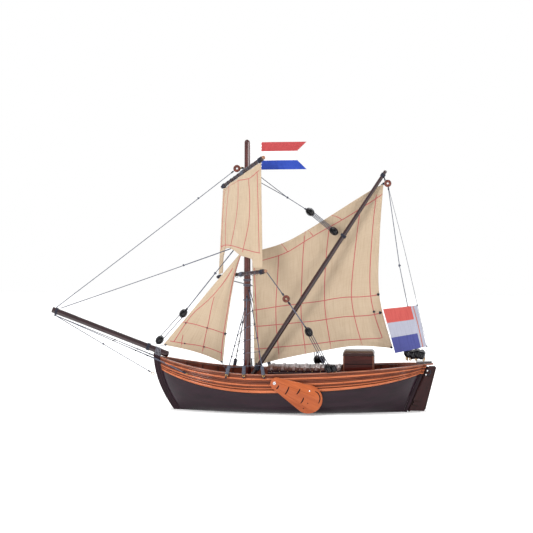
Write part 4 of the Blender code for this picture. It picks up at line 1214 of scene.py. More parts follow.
def make_head_stays(look):
    tip = BOWSPRIT[0] + Vector((0.006, 0, 0.0035))
    shape = Shape()
    end = MAST_RING - (MAST_RING - tip).normalized() * 0.0052
    rope(shape, hung(tip, end, 0.002), ROPE)
    tied_knot(shape, tip.lerp(end, 0.80), 0.0012, 0.0006, 0)
    wraps(shape, end - (end - tip).normalized() * 0.004, end - tip, 0.0006, 6, 0.00036, 1)
    shape.piece("topmast_stay_rope", [look["rope"], look["dark_thread"]], "root", "rope",
                ["topmast_stay"], 60)

    low, head = tip + Vector((0.0075, 0, -0.001)), Vector((-0.0046, 0.0046, 0.2588))
    shape = Shape()
    rope(shape, hung(low, head, 0.0015), ROPE)
    rope(shape, hung(low.lerp(head, 0.67), head + Vector((0, 0.0012, 0.0006)), 0.001), ROPE)
    tied_knot(shape, low.lerp(head, 0.67), 0.0013, 0.0006, 0)
    wraps(shape, head, (0, 0, 1), 0.0008, 4, 0.0004, 1)
    shape.piece("topsail_stay_rope", [look["rope"], look["dark_thread"]], "root", "rope",
                ["topsail_stay"], 60)

    head = to_mast(STAY_BLOCK_HIGH, 0.2765) + Vector((0, 0.0035, 0))
    along = (head - STAY_BLOCK_HIGH).normalized()
    fork = STAY_BLOCK_HIGH.lerp(head, 0.53)
    shape = Shape()
    rope(shape, hung(STAY_BLOCK_HIGH + along * 0.005, fork, 0), 0.00082)
    tied_knot(shape, fork, 0.0015, 0.0007, 0)
    for y in (-0.0011, 0.0011):
        rope(shape, hung(fork, head + Vector((0, y, y * 0.8)), 0.001), ROPE)
    wraps(shape, STAY_BLOCK_HIGH + along * 0.0082, along, 0.0009, 6, 0.00042, 1)
    shape.piece("forestay_rope", [look["rope"], look["dark_thread"]], "root", "rope", ["forestay"],
                60)

    shape = Shape()
    pulley(shape, STAY_BLOCK_HIGH, along)
    tackle(shape, STAY_BLOCK_HIGH, STAY_BLOCK_LOW, 0.005, 2, 0.0058)
    shape.piece("forestay_upper_pulley", [look["block"], look["fall_rope"]], "root", "block_wood",
                ["forestay_upper_block"], 50)
    shape = Shape()
    pulley(shape, STAY_BLOCK_LOW, along)
    foot = STAY_BLOCK_LOW - along * 0.006
    wraps(shape, foot, along, 0.0008, 4, 0.00045, 1)
    shape.piece("forestay_lower_pulley", [look["block"], look["dark_thread"]], "root",
                "block_wood", ["forestay_lower_block"], 50)


def make_bow(look):
    """Gammoning round the bowsprit, the bobstay, the bowsprit shrouds and their eyes."""
    along = (BOWSPRIT[0] - BOWSPRIT[1]).normalized()
    start = BOWSPRIT[0] + Vector((0.004, 0, -0.0088))
    shape = Shape()
    tied_knot(shape, start, 0.0012, 0.0006)
    end = STEM_EYE + (start - STEM_EYE).normalized() * 0.0035
    rope(shape, hung(start, end, 0.002), ROPE)
    tied_knot(shape, start.lerp(STEM_EYE, 0.49), 0.0012, 0.0006)
    wraps(shape, end + (start - end).normalized() * 0.004, start - end, 0.0006, 6, 0.00036, 1)
    rope(shape, hung(start, BOWSPRIT[0] + Vector((0.004, 0, -0.003)), 0), ROPE)
    for change, side in MIRRORS:
        corner, eye = change(BOW_CORNER), change(BOW_EYE)
        lead = (eye - corner).normalized()
        for lift in (0.0, 0.0013):
            beside = corner.lerp(eye, 0.5) + Vector((0, side * 0.0008, lift * 0.7))
            route = smooth_route([start, start.lerp(corner, 0.5), corner + Vector((0, 0, lift)),
                                  beside, eye - lead * 0.0018])
            rope(shape, route, ROPE if not lift else THREAD)
        for share in (0.55, 0.76, 0.87):
            tied_knot(shape, start.lerp(corner, share), 0.0010, 0.0005, 1)
        wraps(shape, eye - lead * 0.0055, lead, 0.0008, 7, 0.00042, 1)
    for step, turns in ((0.0345, 5), (0.190, 4)):
        centre = BOWSPRIT[1] + along * step
        radius = 0.0052 - 0.0005 * step / 0.197
        wraps(shape, centre, along, radius, turns, 0.0005, 1)
    # lashing that holds the heel down to the stem head
    for index in range(4):
        x = -0.1425 + 0.0022 * index
        z = BOWSPRIT[1].z + (BOWSPRIT[0].z - BOWSPRIT[1].z) * (x - BOWSPRIT[1].x) / (
            BOWSPRIT[0].x - BOWSPRIT[1].x)
        loop = [Vector((x - 0.004 * (1 - math.cos(turn)) / 2 * 0.3, 0.0062 * math.sin(turn),
                        z - 0.0012 + 0.0073 * math.cos(turn)))
                for turn in full_turn(36)]
        line(shape, loop, 0.0004, 2, 8, loop=True)
    shape.piece("bowsprit_ropes", [look["rope"], look["dark_thread"], look["silver_thread"]],
                "root", "rope", ["bowsprit_rigging"], 60)

    metalwork = Shape()
    torus(metalwork, STEM_EYE + Vector((-0.0008, 0, 0)), (0, 1, 0), 0.0022, 0.0005, 0, 24, 8)
    for change, side in MIRRORS:
        eyebolt(metalwork, change(BOW_EYE), (0, 0, 1), (0, side, 0), 0.0016, 0.0005, 0.0016)
    metalwork.piece("bow_eyes", [look["brass"]], "root", "silver_pin", (), 60)

    rabbet = Shape()
    for side in (PORT, STARBOARD):
        for inset in (0.0030, 0.0068):
            route = [Vector((stem_edge(z) + inset, side * (POST_HALF + JUST_PROUD), z))
                     for z in (0.004 + 0.0785 * step / 40 for step in range(41))]
            line(rabbet, route, 0.00028, 0, 6)
        route = [Vector((POST_X + 0.0022 + POST_RAKE * z, side * (POST_HALF + JUST_PROUD), z))
                 for z in (0.003 + 0.072 * step / 30 for step in range(31))]
        line(rabbet, route, 0.00026, 0, 6)
    rabbet.piece("post_rabbets", [look["groove"]], "root", "dark_hull", (), 60)


def make_braces(look):
    for label, change, low, end in (
            ("port", Vector, BRACE_LOW, LOWER_YARD[1]),
            ("starboard", mirrored, STARBOARD_BRACE_LOW, LOWER_YARD[0])):
        thimble, high = change(BRACE_RING), change(BRACE_HIGH)
        ring = Shape()
        bullseye(ring, thimble, (0.1, 1, 0))
        made = ring.piece("%s_brace_thimble" % label, [look["ring"]], None, "ring_wood",
                          ["%s_brace_ring" % label], 60)
        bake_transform(made)

        shape = Shape()
        towards = (thimble - end).normalized()
        after = (high - thimble).normalized()
        side = frame_along(towards)[0]
        rope(shape, hung(end + towards * 0.0025, thimble - towards * 0.0055, 0.003), 0.00075)
        rope(shape, hung(end + towards * 0.002 + side * 0.0022, thimble - towards * 0.0050
                         + side * 0.0020, 0.004), THREAD)
        rope(shape, hung(thimble + after * 0.0050, high - after * 0.005, 0.002), 0.0010)
        for place, along in ((thimble - towards * 0.0085, towards),
                             (thimble + after * 0.0085, after)):
            wraps(shape, place, along, 0.0009, 5, 0.00042, 1)
        wraps(shape, high - after * 0.0085, after, 0.0007, 6, 0.0004, 1)
        made = shape.piece("%s_brace_rope" % label, [look["rope"], look["dark_thread"]], None,
                           "rope", ["%s_brace" % label], 60)
        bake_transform(made)

        shape = Shape()
        pulley(shape, high, low - high)
        tackle(shape, high, low, 0.005, 3, 0.0030)
        made = shape.piece("%s_brace_upper_pulley" % label, [look["block"], look["fall_rope"]],
                           None, "block_wood", ["%s_brace_upper_block" % label], 50)
        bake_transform(made)

        shape = Shape()
        pulley(shape, low, low - high, 0, 1)
        beside = low + Vector((0.0078, 0, 0.0006))
        pulley(shape, beside, low - high, 0, 1, 1.2)
        for place in (low, beside):
            rail = rail_z(part_at(place.x + 0.002))
            eye = Vector((place.x + 0.0028, place.y, rail + 0.0010))
            eyebolt(shape, eye, (1, 0, 0), UP, 0.0013, 0.00045, 0.0012, 2)
            line(shape, smooth_route([place + Vector((0.002, 0, -0.004)), eye], 0.0005), 0.0005,
                 2, 8)
        shape.piece("%s_brace_lower_pulley" % label,
                    [look["block"], look["dark_thread"], look["brass"]], "root", "block_wood",
                    ["%s_brace_lower_block" % label], 50)


def make_peak_rigging(look):
    meeting = SPAN_BLOCK.lerp(Vector((0, 0, 0.3705)), 0.36)
    aside = Vector((-0.002, -0.0045, 0))
    shape = Shape()
    tied_knot(shape, meeting, 0.0013, 0.0006)
    for head in (to_mast(meeting, 0.381) + aside, to_mast(meeting, 0.366)):
        rope(shape, hung(meeting, head, 0.001), ROPE)
    along = (SPAN_BLOCK - meeting).normalized()
    rope(shape, hung(meeting, SPAN_BLOCK - along * 0.005, 0), ROPE)
    wraps(shape, SPAN_BLOCK - along * 0.008, along, 0.0007, 5, 0.0004, 1)
    made = shape.piece("peak_span_rope", [look["rope"], look["dark_thread"]], None, "rope",
                       ["peak_span"], 60)
    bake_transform(made)
    shape = Shape()
    pulley(shape, SPAN_BLOCK, SPRIT_BLOCK - SPAN_BLOCK)
    tackle(shape, SPAN_BLOCK, SPRIT_BLOCK, 0.005)
    made = shape.piece("span_pulley", [look["block"], look["fall_rope"]], None, "block_wood",
                       ["span_block"], 50)
    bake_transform(made)

    shape = Shape()
    pulley(shape, SPRIT_BLOCK, SPRIT_BLOCK - SPAN_BLOCK)
    direction = (SPRIT[1] - SPRIT[0]).normalized()
    part = (SPRIT_BLOCK - SPRIT[0]).dot(direction)
    place = SPRIT[0] + direction * (part + 0.002)
    wraps(shape, place, direction, 0.0040, 4, 0.00055, 1)
    shape.piece("sprit_pulley", [look["block"], look["dark_thread"]], "mainsail", "block_wood",
                ["sprit_block"], 50)

    ring = Shape()
    bullseye(ring, PEAK_RING, (0, 1, 0))
    ring.piece("peak_thimble", [look["ring"]], "mainsail", "ring_wood", ["peak_ring"], 60)
    tie = Shape()
    top = SPRIT[1] - direction * 0.009
    wraps(tie, top, direction, 0.0030, 6, 0.0005, 0)
    wraps(tie, SPRIT[0] + direction * 0.012, direction, 0.0039, 5, 0.0006, 0)
    line(tie, smooth_route([top + Vector((0.001, 0.003, 0)), Vector((0.2135, -0.002, 0.359)),
                            PEAK_RING + Vector((-0.001, 0, 0.0045))], 0.0006), 0.00055, 0, 7)
    line(tie, smooth_route([PEAK + Vector((-0.0035, -0.001, -0.001)), Vector(
        (0.2130, -0.003, 0.3555)), top + Vector((0.0004, 0.0036, -0.001))], 0.0006), 0.0005, 0, 7)
    tied_knot(tie, PEAK + Vector((0.0005, -0.0012, 0.0005)), 0.0015, 0.0006, 0)
    tied_knot(tie, CLEW + Vector((-0.002, -0.0012, 0.0012)), 0.0015, 0.0006, 0)
    for y in (-0.0012, 0.0012):
        tied_knot(tie, Vector((0.0115, y, 0.2435)), 0.0014, 0.0006, 0)
        tied_knot(tie, Vector((0.0145, y, 0.0718)), 0.0014, 0.0006, 0)
    tie.piece("sprit_lashings", [look["dark_thread"]], "mainsail", "rope", (), 60)

    shape = Shape()
    tied_knot(shape, VANG_KNOT, 0.0015, 0.0007)
    out = PEAK_RING - (PEAK_RING - VANG_KNOT).normalized() * 0.0052
    rope(shape, hung(VANG_KNOT, out, 0.002), ROPE)
    wraps(shape, out - (out - VANG_KNOT).normalized() * 0.003, out - VANG_KNOT, 0.0006, 6,
          0.00038, 1)
    for change in (Vector, mirrored):
        foot = change(VANG_BLOCK)
        away = (foot - VANG_KNOT).normalized()
        across = frame_along(away)[0]
        for shift in (-0.0016, 0.0, 0.0016):
            rope(shape, hung(VANG_KNOT, foot - away * 0.004 + across * shift, 0.002), 0.00055)
        tied_knot(shape, VANG_KNOT.lerp(foot, 0.47), 0.0011, 0.0005, 1)
    made = shape.piece("vang_ropes", [look["rope"], look["dark_thread"]], None, "rope", ["vangs"],
                       60)
    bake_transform(made)
    shape = Shape()
    for change in (Vector, mirrored):
        foot = change(VANG_BLOCK)
        pulley(shape, foot, VANG_KNOT - foot)
        for dx, dz in ((-0.0150, 0.0008), (-0.0075, -0.0012), (0.0066, -0.0016)):
            pulley(shape, foot + Vector((dx, 0, dz)), (0.25 * dx / 0.006, 0.0, 1), 0, 1, 1.3)
    made = shape.piece("vang_pulleys", [look["block"], look["dark_thread"]], None, "block_wood",
                       ["port_vang_block", "starboard_vang_block"], 50)
    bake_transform(made)
    metalwork = Shape()
    for change in (Vector, mirrored):
        for x, lean in ((0.2480, -0.3), (0.2535, 0.3), (0.2620, 0.0), (0.2740, 0.15)):
            place = change(Vector((x, -0.0085, 0.0826)))
            along = Vector((lean, 0, 1)).normalized()
            torus(metalwork, place, (0, 1, 0), 0.0017, 0.0006, 0, 20, 8)
            line(metalwork, [place + along * 0.0012, place + along * 0.0044], 0.0006, 0, 7)
            line(metalwork, [place - along * 0.0012, place - along * 0.0034], 0.0006, 0, 7)
    metalwork.piece("stern_eyes", [look["brass"]], "root", "silver_pin", (), 60)

    # the ensign's halyard
    shape = Shape()
    top, hoist, low = PEAK_RING + Vector((0.0005, -0.001, -0.004)), ENSIGN[1], ENSIGN[3]
    rope(shape, smooth_route([top, top.lerp(hoist, 0.5) + Vector((0.0015, -0.001, 0)),
                              hoist + Vector((0.0008, 0, 0.0008))]), 0.00036, 0)
    rope(shape, smooth_route([hoist + Vector((0.0008, 0, 0.0008)), hoist.lerp(low, 0.5) + Vector(
        (0.0008, 0, 0)), low + Vector((0.0008, 0, 0)), Vector((0.2740, -0.0085, 0.0870))]),
         0.00036, 0)
    for place in (hoist, low):
        tied_knot(shape, place + Vector((0.0006, -0.0004, 0.0004)), 0.0010, 0.0004, 0)
    made = shape.piece("ensign_halyard", [look["rope"]], None, "rope", (), 60)
    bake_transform(made)


def make_yard_lashings(look):
    """Seizings, the lacing rings of the topsail, and light end grain on the yards."""
    shape, ends = Shape(), Shape()
    for yard, radii in YARDS:
        along = (yard[1] - yard[0]).normalized()
        length = (yard[1] - yard[0]).length
        for share, turns in ((0.045, 4), (0.90, 4), (0.935, 3)):
            radius = radii[0] + (radii[1] - radii[0]) * share
            wraps(shape, yard[0] + along * length * share, along, radius, turns, 0.0005, 0)
        centre = yard[0] + along * length * 0.50
        wraps(shape, centre, along, sum(radii) / 2, 7, 0.0005, 1)
        for step in range(11):
            place = yard[0] + along * length * (0.075 + 0.0815 * step)
            torus(shape, place - Vector((0, 0, 0.0008)), along, radii[1] + 0.0006, 0.00032, 1, 20,
                  6)
        side, other = frame_along(along)
        for place, radius, way in ((yard[0], radii[0], -1), (yard[1], radii[1], 1)):
            ends.rings([circle(place + along * way * shift, side, other, radius * size, 20)
                        for shift, size in ((-0.0009, 0.96), (0.0001, 0.90), (0.0003, 0.70),
                                            (0.00035, 0.2))])
    shape.piece("yard_lashings", [look["dark_thread"], look["rope"]], "topsail", "rope", (), 60)
    ends.piece("yard_end_grain", [look["end_grain"]], "topsail", "brown_wood", (), 60)


def make_staysail_ropes(look):
    shape = Shape()
    rope(shape, hung(STAY_HEAD + Vector((0, 0.0, -0.003)), Vector((-0.0062, -0.0035, 0.262)), 0),
         THREAD)
    tied_knot(shape, STAY_HEAD + Vector((0.0004, -0.0010, -0.004)), 0.0012, 0.0005)
    rope(shape, hung(STAY_TACK + Vector((0.002, 0, -0.0005)), Vector((-0.1385, 0, 0.0985)), 0),
         THREAD)
    tied_knot(shape, STAY_TACK + Vector((0.0035, -0.0010, 0.0)), 0.0012, 0.0005)
    shape.piece("staysail_ties", [look["rope"]], "root", "rope", (), 60)
    shape = Shape()
    deck = Vector((-0.030, -0.002, deck_z(-0.030) + 0.0006))
    rope(shape, smooth_route([STAY_CLEW + Vector((-0.001, -0.001, 0.001)), STAY_CLEW.lerp(
        deck, 0.5) + Vector((0.001, 0, 0)), deck]), THREAD)
    tied_knot(shape, STAY_CLEW + Vector((-0.0018, -0.0010, 0.0015)), 0.0013, 0.0005)
    made = shape.piece("staysail_sheet_rope", [look["rope"]], None, "rope", (), 60)
    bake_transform(made)


# ---- Leeboards, rudder, houses ------------------------------------------------------------------
LEE_HEAD, LEE_FOOT = (0.051, 0.0485, 0.0098), (0.0988, 0.0255, 0.0220)
LEE_INNER_Y, LEE_THICK, LEE_PIVOT = 0.0602, 0.0030, (0.0476, 0.0495)


def lee_outline(inset=0.0, head_steps=20, foot_steps=40):
    """The leeboard's outline, drawn in by an inset."""
    (x0, z0, r0), (x1, z1, r1) = LEE_HEAD, LEE_FOOT
    r0, r1 = r0 - inset, r1 - inset
    heading = math.atan2(z1 - z0, x1 - x0)
    lean = math.acos((r0 - r1) / math.hypot(x1 - x0, z1 - z0))
    outline = []
    for step in range(head_steps + 1):
        turn = heading + lean + (math.tau - 2 * lean) * step / head_steps
        outline.append((x0 + r0 * math.cos(turn), z0 + r0 * math.sin(turn)))
    for step in range(foot_steps + 1):
        turn = heading - lean + 2 * lean * step / foot_steps
        outline.append((x1 + r1 * math.cos(turn), z1 + r1 * math.sin(turn)))
    return outline


# the ends of the slots and the places of the marks on each board, as x and z in millimetres
LEE_SLOTS = (((54.2, 46.3), (50.5, 40.5)), ((69.9, 44.4), (63.8, 32.4)),
             ((86.9, 41.5), (81.4, 32.9)), ((92.3, 28.0), (87.6, 19.1)))
LEE_DOTS = ((98.5, 19.5), (92.0, 11.5))
LEE_STUD = (101.1, 38.3)
LEE_BAND = ((109.6, 38.0), (114.8, 34.0), (117.1, 26.6), (114.8, 19.4))


def make_leeboards(look):
    """The boards, their slots, plank seams and marks, and the washers at their heads."""
    (x0, z0, _), (x1, z1, _) = LEE_HEAD, LEE_FOOT
    heading = Vector((x1 - x0, 0, z1 - z0)).normalized()
    square = Vector((-heading.z, 0, heading.x))
    sideways = Vector((0, 1, 0))
    for label, side in SIDES:
        shape = Shape()
        low, high = LEE_INNER_Y, LEE_INNER_Y + LEE_THICK
        rings = []
        for inset, y in ((0.0009, low), (0.0003, low + 0.0003), (0.0, low + 0.0009),
                         (0.0, high - 0.0010), (0.0003, high - 0.0004), (0.0010, high)):
            rings.append([Vector((x, side * y, z)) for x, z in lee_outline(inset)])
        shape.rings(rings, 0)
        face = side * (high + JUST_PROUD)
        pivot = Vector((LEE_PIVOT[0], face, LEE_PIVOT[1]))

        def on_board(along, across):
            return pivot + heading * along + square * across

        def on_face(x, z):
            return Vector((x * MM, face, z * MM))

        for start, end in LEE_SLOTS:
            middle = ((start[0] + end[0]) / 2 + 0.5, (start[1] + end[1]) / 2 - 0.3)
            line(shape, smooth_route([on_face(*start), on_face(*middle), on_face(*end)], 0.0006),
                 0.00098, 1, 8, flat=(sideways, 0.35),
                 taper=lambda part: 0.35 + 0.65 * math.sin(math.pi * part) ** 0.5)
        for place in LEE_DOTS:
            stud(shape, on_face(*place), 0.0009, 0.0003, 1, 12, 6)
        line(shape, smooth_route([on_face(*place) for place in LEE_BAND], 0.0006), 0.00085, 1, 8,
             flat=(sideways, 0.4),
             taper=lambda part: 0.3 + 0.7 * math.sin(math.pi * part) ** 0.4)
        # plank seams
        for across in (-0.0062, 0.0045):
            line(shape, [on_board(0.002, across * 0.7), on_board(0.063, across * 2.1)], 0.00022, 2,
                 6, flat=(sideways, 0.5))
        stud(shape, on_face(*LEE_STUD), 0.0013, 0.0008, 3, 18, 8)
        shape.piece("%s_leeboard_planks" % label,
                    [look["leeboard"], look["groove"], look["seam"], look["silver"]],
                    "%s_leeboard" % label, "leeboard_wood", ["%s_leeboard" % label], 40)
        head = Shape()
        centre = Vector((LEE_PIVOT[0], side * (high + 0.0012), LEE_PIVOT[1]))
        stud(head, centre, 0.0022, 0.0009, 0, 24, 10)
        torus(head, centre - Vector((0, side * 0.0006, 0)), (0, 1, 0), 0.0022, 0.00035, 0, 28, 8)
        head.piece("%s_pivot_washer" % label, [look["silver"]], "root", "silver_pin", (), 50)


# where the rudder's hinge line meets the level of the hull's bottom; it rakes like the post
HINGE_X = POST_X + POST_SIDING + 0.0024
# low and high ends of the lengths of the stock, of its cheeks, and of the gudgeons
STOCK_LENGTHS = ((0.0006, 0.0112), (0.0168, 0.0572), (0.0628, 0.0702))
CHEEK_LENGTHS = ((0.0100, 0.0180), (0.0560, 0.0640))
GUDGEON_LENGTHS = ((0.0112, 0.0168), (0.0572, 0.0628))
STRAP_HEIGHTS = (0.014, 0.060)


def hinge_x(z):
    return HINGE_X + POST_RAKE * z


def hinge_place(z):
    return Vector((hinge_x(z), 0, z))


def raked_box(shape, low, high, corners):
    """A straight-sided length between two heights that follows the hinge line."""
    shape.rings([[Vector((hinge_x(z) + dx, dy, z)) for dx, dy in corners] for z in (low, high)])


def make_rudder_straps(look):
    """Two pairs of nailed straps on each side of the rudder."""
    shape = Shape()
    rake = Vector((POST_RAKE, 0, 1)).normalized()
    for height in STRAP_HEIGHTS:
        for shift in (0.0036, -0.0036):
            centre = hinge_place(height) + rake * shift
            for side in (PORT, STARBOARD):
                start = centre + Vector((0.0016, side * 0.0031, 0))
                end = centre + Vector((0.0105, side * 0.0031, -0.0016))
                line(shape, [start, start.lerp(end, 0.5), end], 0.00068, 0, 8,
                     flat=(Vector((0, 1, 0)), 0.35))
                for part in (0.3, 0.8):
                    stud(shape, start.lerp(end, part) + Vector((0, side * 0.0002, 0)), 0.00045,
                         0.00018)
    shape.piece("rudder_straps", [look["groove"]], "rudder", "silver_pin", (), 50)


def make_rudder_stock(look):
    """The round stock with its cheeks, and the gudgeons that reach it from the stern post."""
    side, other = frame_along(Vector((POST_RAKE, 0, 1)).normalized())
    stock, gudgeons = Shape(), Shape()
    for low, high in STOCK_LENGTHS:
        stock.rings([circle(hinge_place(z), side, other, size, 24) for z, size in (
            (low, 0.0016), (low + 0.0005, 0.0021), (high - 0.0005, 0.0021), (high, 0.0016))])
        raked_box(stock, low + 0.0003, high - 0.0003,
                  ((0.0, -0.0019), (0.0016, -0.0027), (0.0016, 0.0027), (0.0, 0.0019)))
    for low, high in CHEEK_LENGTHS:
        raked_box(stock, low, high,
                  ((0.0022, -0.0027), (0.0064, -0.0028), (0.0064, 0.0028), (0.0022, 0.0027)))
    for ends in GUDGEON_LENGTHS:
        gudgeons.rings([circle(hinge_place(z), side, other, 0.0020, 24) for z in ends])
        gudgeons.rings([[hinge_place(z) + Vector((dx, dy, 0)) for dx, dy in (
            (-0.0044, -0.0018), (0.0, -0.0018), (0.0, 0.0018), (-0.0044, 0.0018))] for z in ends])
    gudgeons.piece("rudder_gudgeons", [look["groove"]], "root", "silver_pin", (), 50)
    stock.piece("rudder_stock", [look["rudder"]], "rudder", "dark_hull", (), 50)


def make_rudder_trim(look):
    """A scored line along the after edge, and the thread loop between the pin heads."""
    edge = Shape()
    foot = Vector((hinge_x(0.004) + 0.0232, 0, 0.0055))
    head = Vector((hinge_x(0.068) + 0.0112, 0, 0.0675))
    for side in (PORT, STARBOARD):
        shift = Vector((0, side * 0.00302, 0))
        line(edge, [foot.lerp(head, step / 30) + shift for step in range(31)], 0.0003, 0, 6)
    edge.piece("rudder_edge_lines", [look["groove"]], "rudder", "dark_hull", (), 60)
    loop = Shape()
    top = Vector((POST_X + POST_SIDING + 0.0040 + POST_RAKE * 0.0645, -0.0034, 0.0645))
    route = smooth_route([top + Vector(shift) for shift in (
        (0.0006, 0, 0.0002), (0.0042, -0.0004, 0.0008), (0.0052, -0.0003, -0.0035),
        (0.0022, -0.0001, -0.0068), (-0.0016, 0, -0.0058))], 0.0006)
    line(loop, route, 0.00060, 0, 8)
    for place in (top, top + Vector((-0.0022, 0.0002, -0.0062))):
        ball(loop, place, (Vector((0.0015, 0, 0)), Vector((0, 0, 0.0017)),
                           Vector((0, 0.0009, 0))), 1, 18, 8)
    loop.piece("rudder_lanyard", [look["dark_thread"], look["silver"]], "rudder", "rope", (), 60)


def make_hatch(look):
    """The arched cover of thin boards with cross battens, their light grey a painted highlight."""
    fore, aft, half, eaves, crown = 0.034, 0.147, 0.0275, 0.0655, 0.0725

    def arch(x, reach_out, low, spring, top, steps=28):
        outline = [(reach_out * math.sin(turn), spring + (top - spring) * math.cos(turn))
                   for turn in (-math.pi / 2 + math.pi * step / steps for step in range(steps + 1))]
        return [Vector((x, y, z)) for y, z in outline + [(reach_out, low), (-reach_out, low)]]

    shape = Shape()
    boards, gap = 14, 0.0003
    width = (aft - fore + 0.002) / boards
    for index in range(boards):
        start = fore - 0.001 + width * index
        stops = ((start + gap, 0.0004), (start + gap + 0.0004, 0.0), (start + width - gap - 0.0004,
                                                                   0.0),
                 (start + width - gap, 0.0004))
        shape.rings([arch(x, half + 0.001 - cut, eaves - GAP, eaves + 0.0015,
                          crown - 0.001 - cut) for x, cut in stops], 0)
    shape.rings([arch(x, half + 0.0004, eaves - GAP, eaves + 0.0014, crown - 0.0018)
                 for x in (fore - 0.0006, aft + 0.0006)], 2)
    # cross battens, coloured light grey as a painted highlight
    for index in range(7):
        start = fore + 0.004 + 0.0172 * index
        stops = ((start, 0.0005), (start + 0.0005, 0.0), (start + 0.0035, 0.0),
                 (start + 0.0040, 0.0005))
        shape.rings([arch(x, half + 0.0016 - cut, eaves, eaves + 0.0021, crown + 0.0004 - cut)
                     for x, cut in stops], 1)
    shape.piece("hatch_boards", [look["brown"], look["batten"], look["groove"]], "root",
                "brown_wood", ["hatch_cover"], 45)
    edge = Shape()
    for side in (PORT, STARBOARD):
        line(edge, [Vector((fore + (aft - fore) * step / 40, side * (half + 0.0008), 0.0612))
                    for step in range(41)], 0.0008, 0, 8)
        for index in range(9):
            x = fore + 0.006 + 0.0126 * index
            stud(edge, Vector((x, side * (half + 0.0003), 0.0636)), 0.0006, 0.0004, 1)
    edge.piece("coaming_moulding", [look["spar"], look["brass"]], "root", "dark_spar", (), 50)


def make_house_trim(look):
    """Weatherboard grooves, corner posts and the moulding under the roof's ends."""
    fore, aft, half, eaves = 0.151, 0.197, 0.027, 0.0890
    shape = Shape()
    low = sheer(0.17) - DECK_DROP + 0.001
    for z in (low + (eaves - low) * share for share in (0.30, 0.62)):
        for side in (PORT, STARBOARD):
            line(shape, [Vector((fore + (aft - fore) * step / 20, side * (half + JUST_PROUD), z))
                         for step in range(21)], 0.00070, 0, 6)
        for x in (fore - JUST_PROUD, aft + JUST_PROUD):
            line(shape, [Vector((x, -half + 2 * half * step / 20, z)) for step in range(21)],
                 0.00030, 0, 6)
    for x, outward in ((fore, -1), (aft, 1)):
        for side in (PORT, STARBOARD):
            centre = Vector((x - outward * 0.0004, side * (half - 0.0004), 0))
            shape.rings([[centre + Vector((dx * 0.0011, dy * 0.0011, z)) for dx, dy in octagon(0.7)]
                         for z in (low, (low + eaves) / 2, eaves - 0.0006)], 1)
    for x in (fore - 0.0008, aft + 0.0008):
        route = [Vector((x, (half + 0.0012) * (step / 10 - 1), 0.0891)) for step in range(21)]
        line(shape, route, 0.0007, 2, 8)
    shape.piece("deckhouse_trim", [look["groove"], look["trim"], look["spar"]], "root",
                "brown_wood", (), 45)


def make_roof(look):
    """The barrel roof, rounded down at both of its ends."""
    corners = [Vector(corner) for corner in NODES["deckhouse_roof"].bound_box]
    low = Vector([min(corner[axis] for corner in corners) for axis in range(3)])
    high = Vector([max(corner[axis] for corner in corners) for axis in range(3)])
    thick, curve, half = 0.0025, 0.0055, high.y
    crown = high.z - low.z - thick
    shape, rings = Shape(), []
    for step in range(49):
        x = low.x + (high.x - low.x) * (1 - math.cos(math.pi * step / 48)) / 2
        inside = min(x - low.x, high.x - x, curve)
        drop = curve - math.sqrt(max(0.0, curve ** 2 - (curve - inside) ** 2))
        ring = [Vector((x, half, low.z)), Vector((x, -half, low.z))]
        for part in range(37):
            turn = math.pi * (part / 36 - 0.5)
            top = low.z + thick + crown * math.cos(turn) - drop
            ring.append(Vector((x, half * math.sin(turn), max(top, low.z + 0.0003))))
        rings.append(ring)
    shape.rings(rings, 0)
    shape.piece("deckhouse_barrel_roof", [look["roof"]], "root", "dark_spar", ["deckhouse_roof"],
                40)


def make_deck_fittings(look):
    """Small bitts, cleats and coiled falls on the open deck."""
    shape = Shape()
    for x, y in ((-0.100, 0.010), (-0.100, -0.010), (0.222, 0.016), (0.222, -0.016)):
        z = deck_z(x)
        shape.rings([[Vector((x + dx * size, y + dy * size, z + lift)) for dx, dy in octagon(0.8)]
                     for lift, size in ((0.0002, 0.0021), (0.0060, 0.0021), (0.0062, 0.0025),
                                        (0.0078, 0.0025), (0.0086, 0.0016))])
        line(shape, [Vector((x - 0.0045, y, z + 0.0042)), Vector((x + 0.0045, y, z + 0.0042))],
             0.0008, 0, 10)
    for x, y, turns in ((-0.080, 0.0, 4), (0.014, 0.036, 4), (0.014, -0.036, 4)):
        z = deck_z(x) + 0.0008
        route = []
        for index in range(turns * 26):
            turn = math.tau * index / 26
            size = 0.0062 - 0.0011 * turn / math.tau
            route.append(Vector((x + size * math.cos(turn), y + size * 0.9 * math.sin(turn), z)))
        line(shape, route, 0.00055, 1, 7)
    shape.piece("deck_fittings", [look["brown"], look["rope"]], "root", "brown_wood", (), 45)


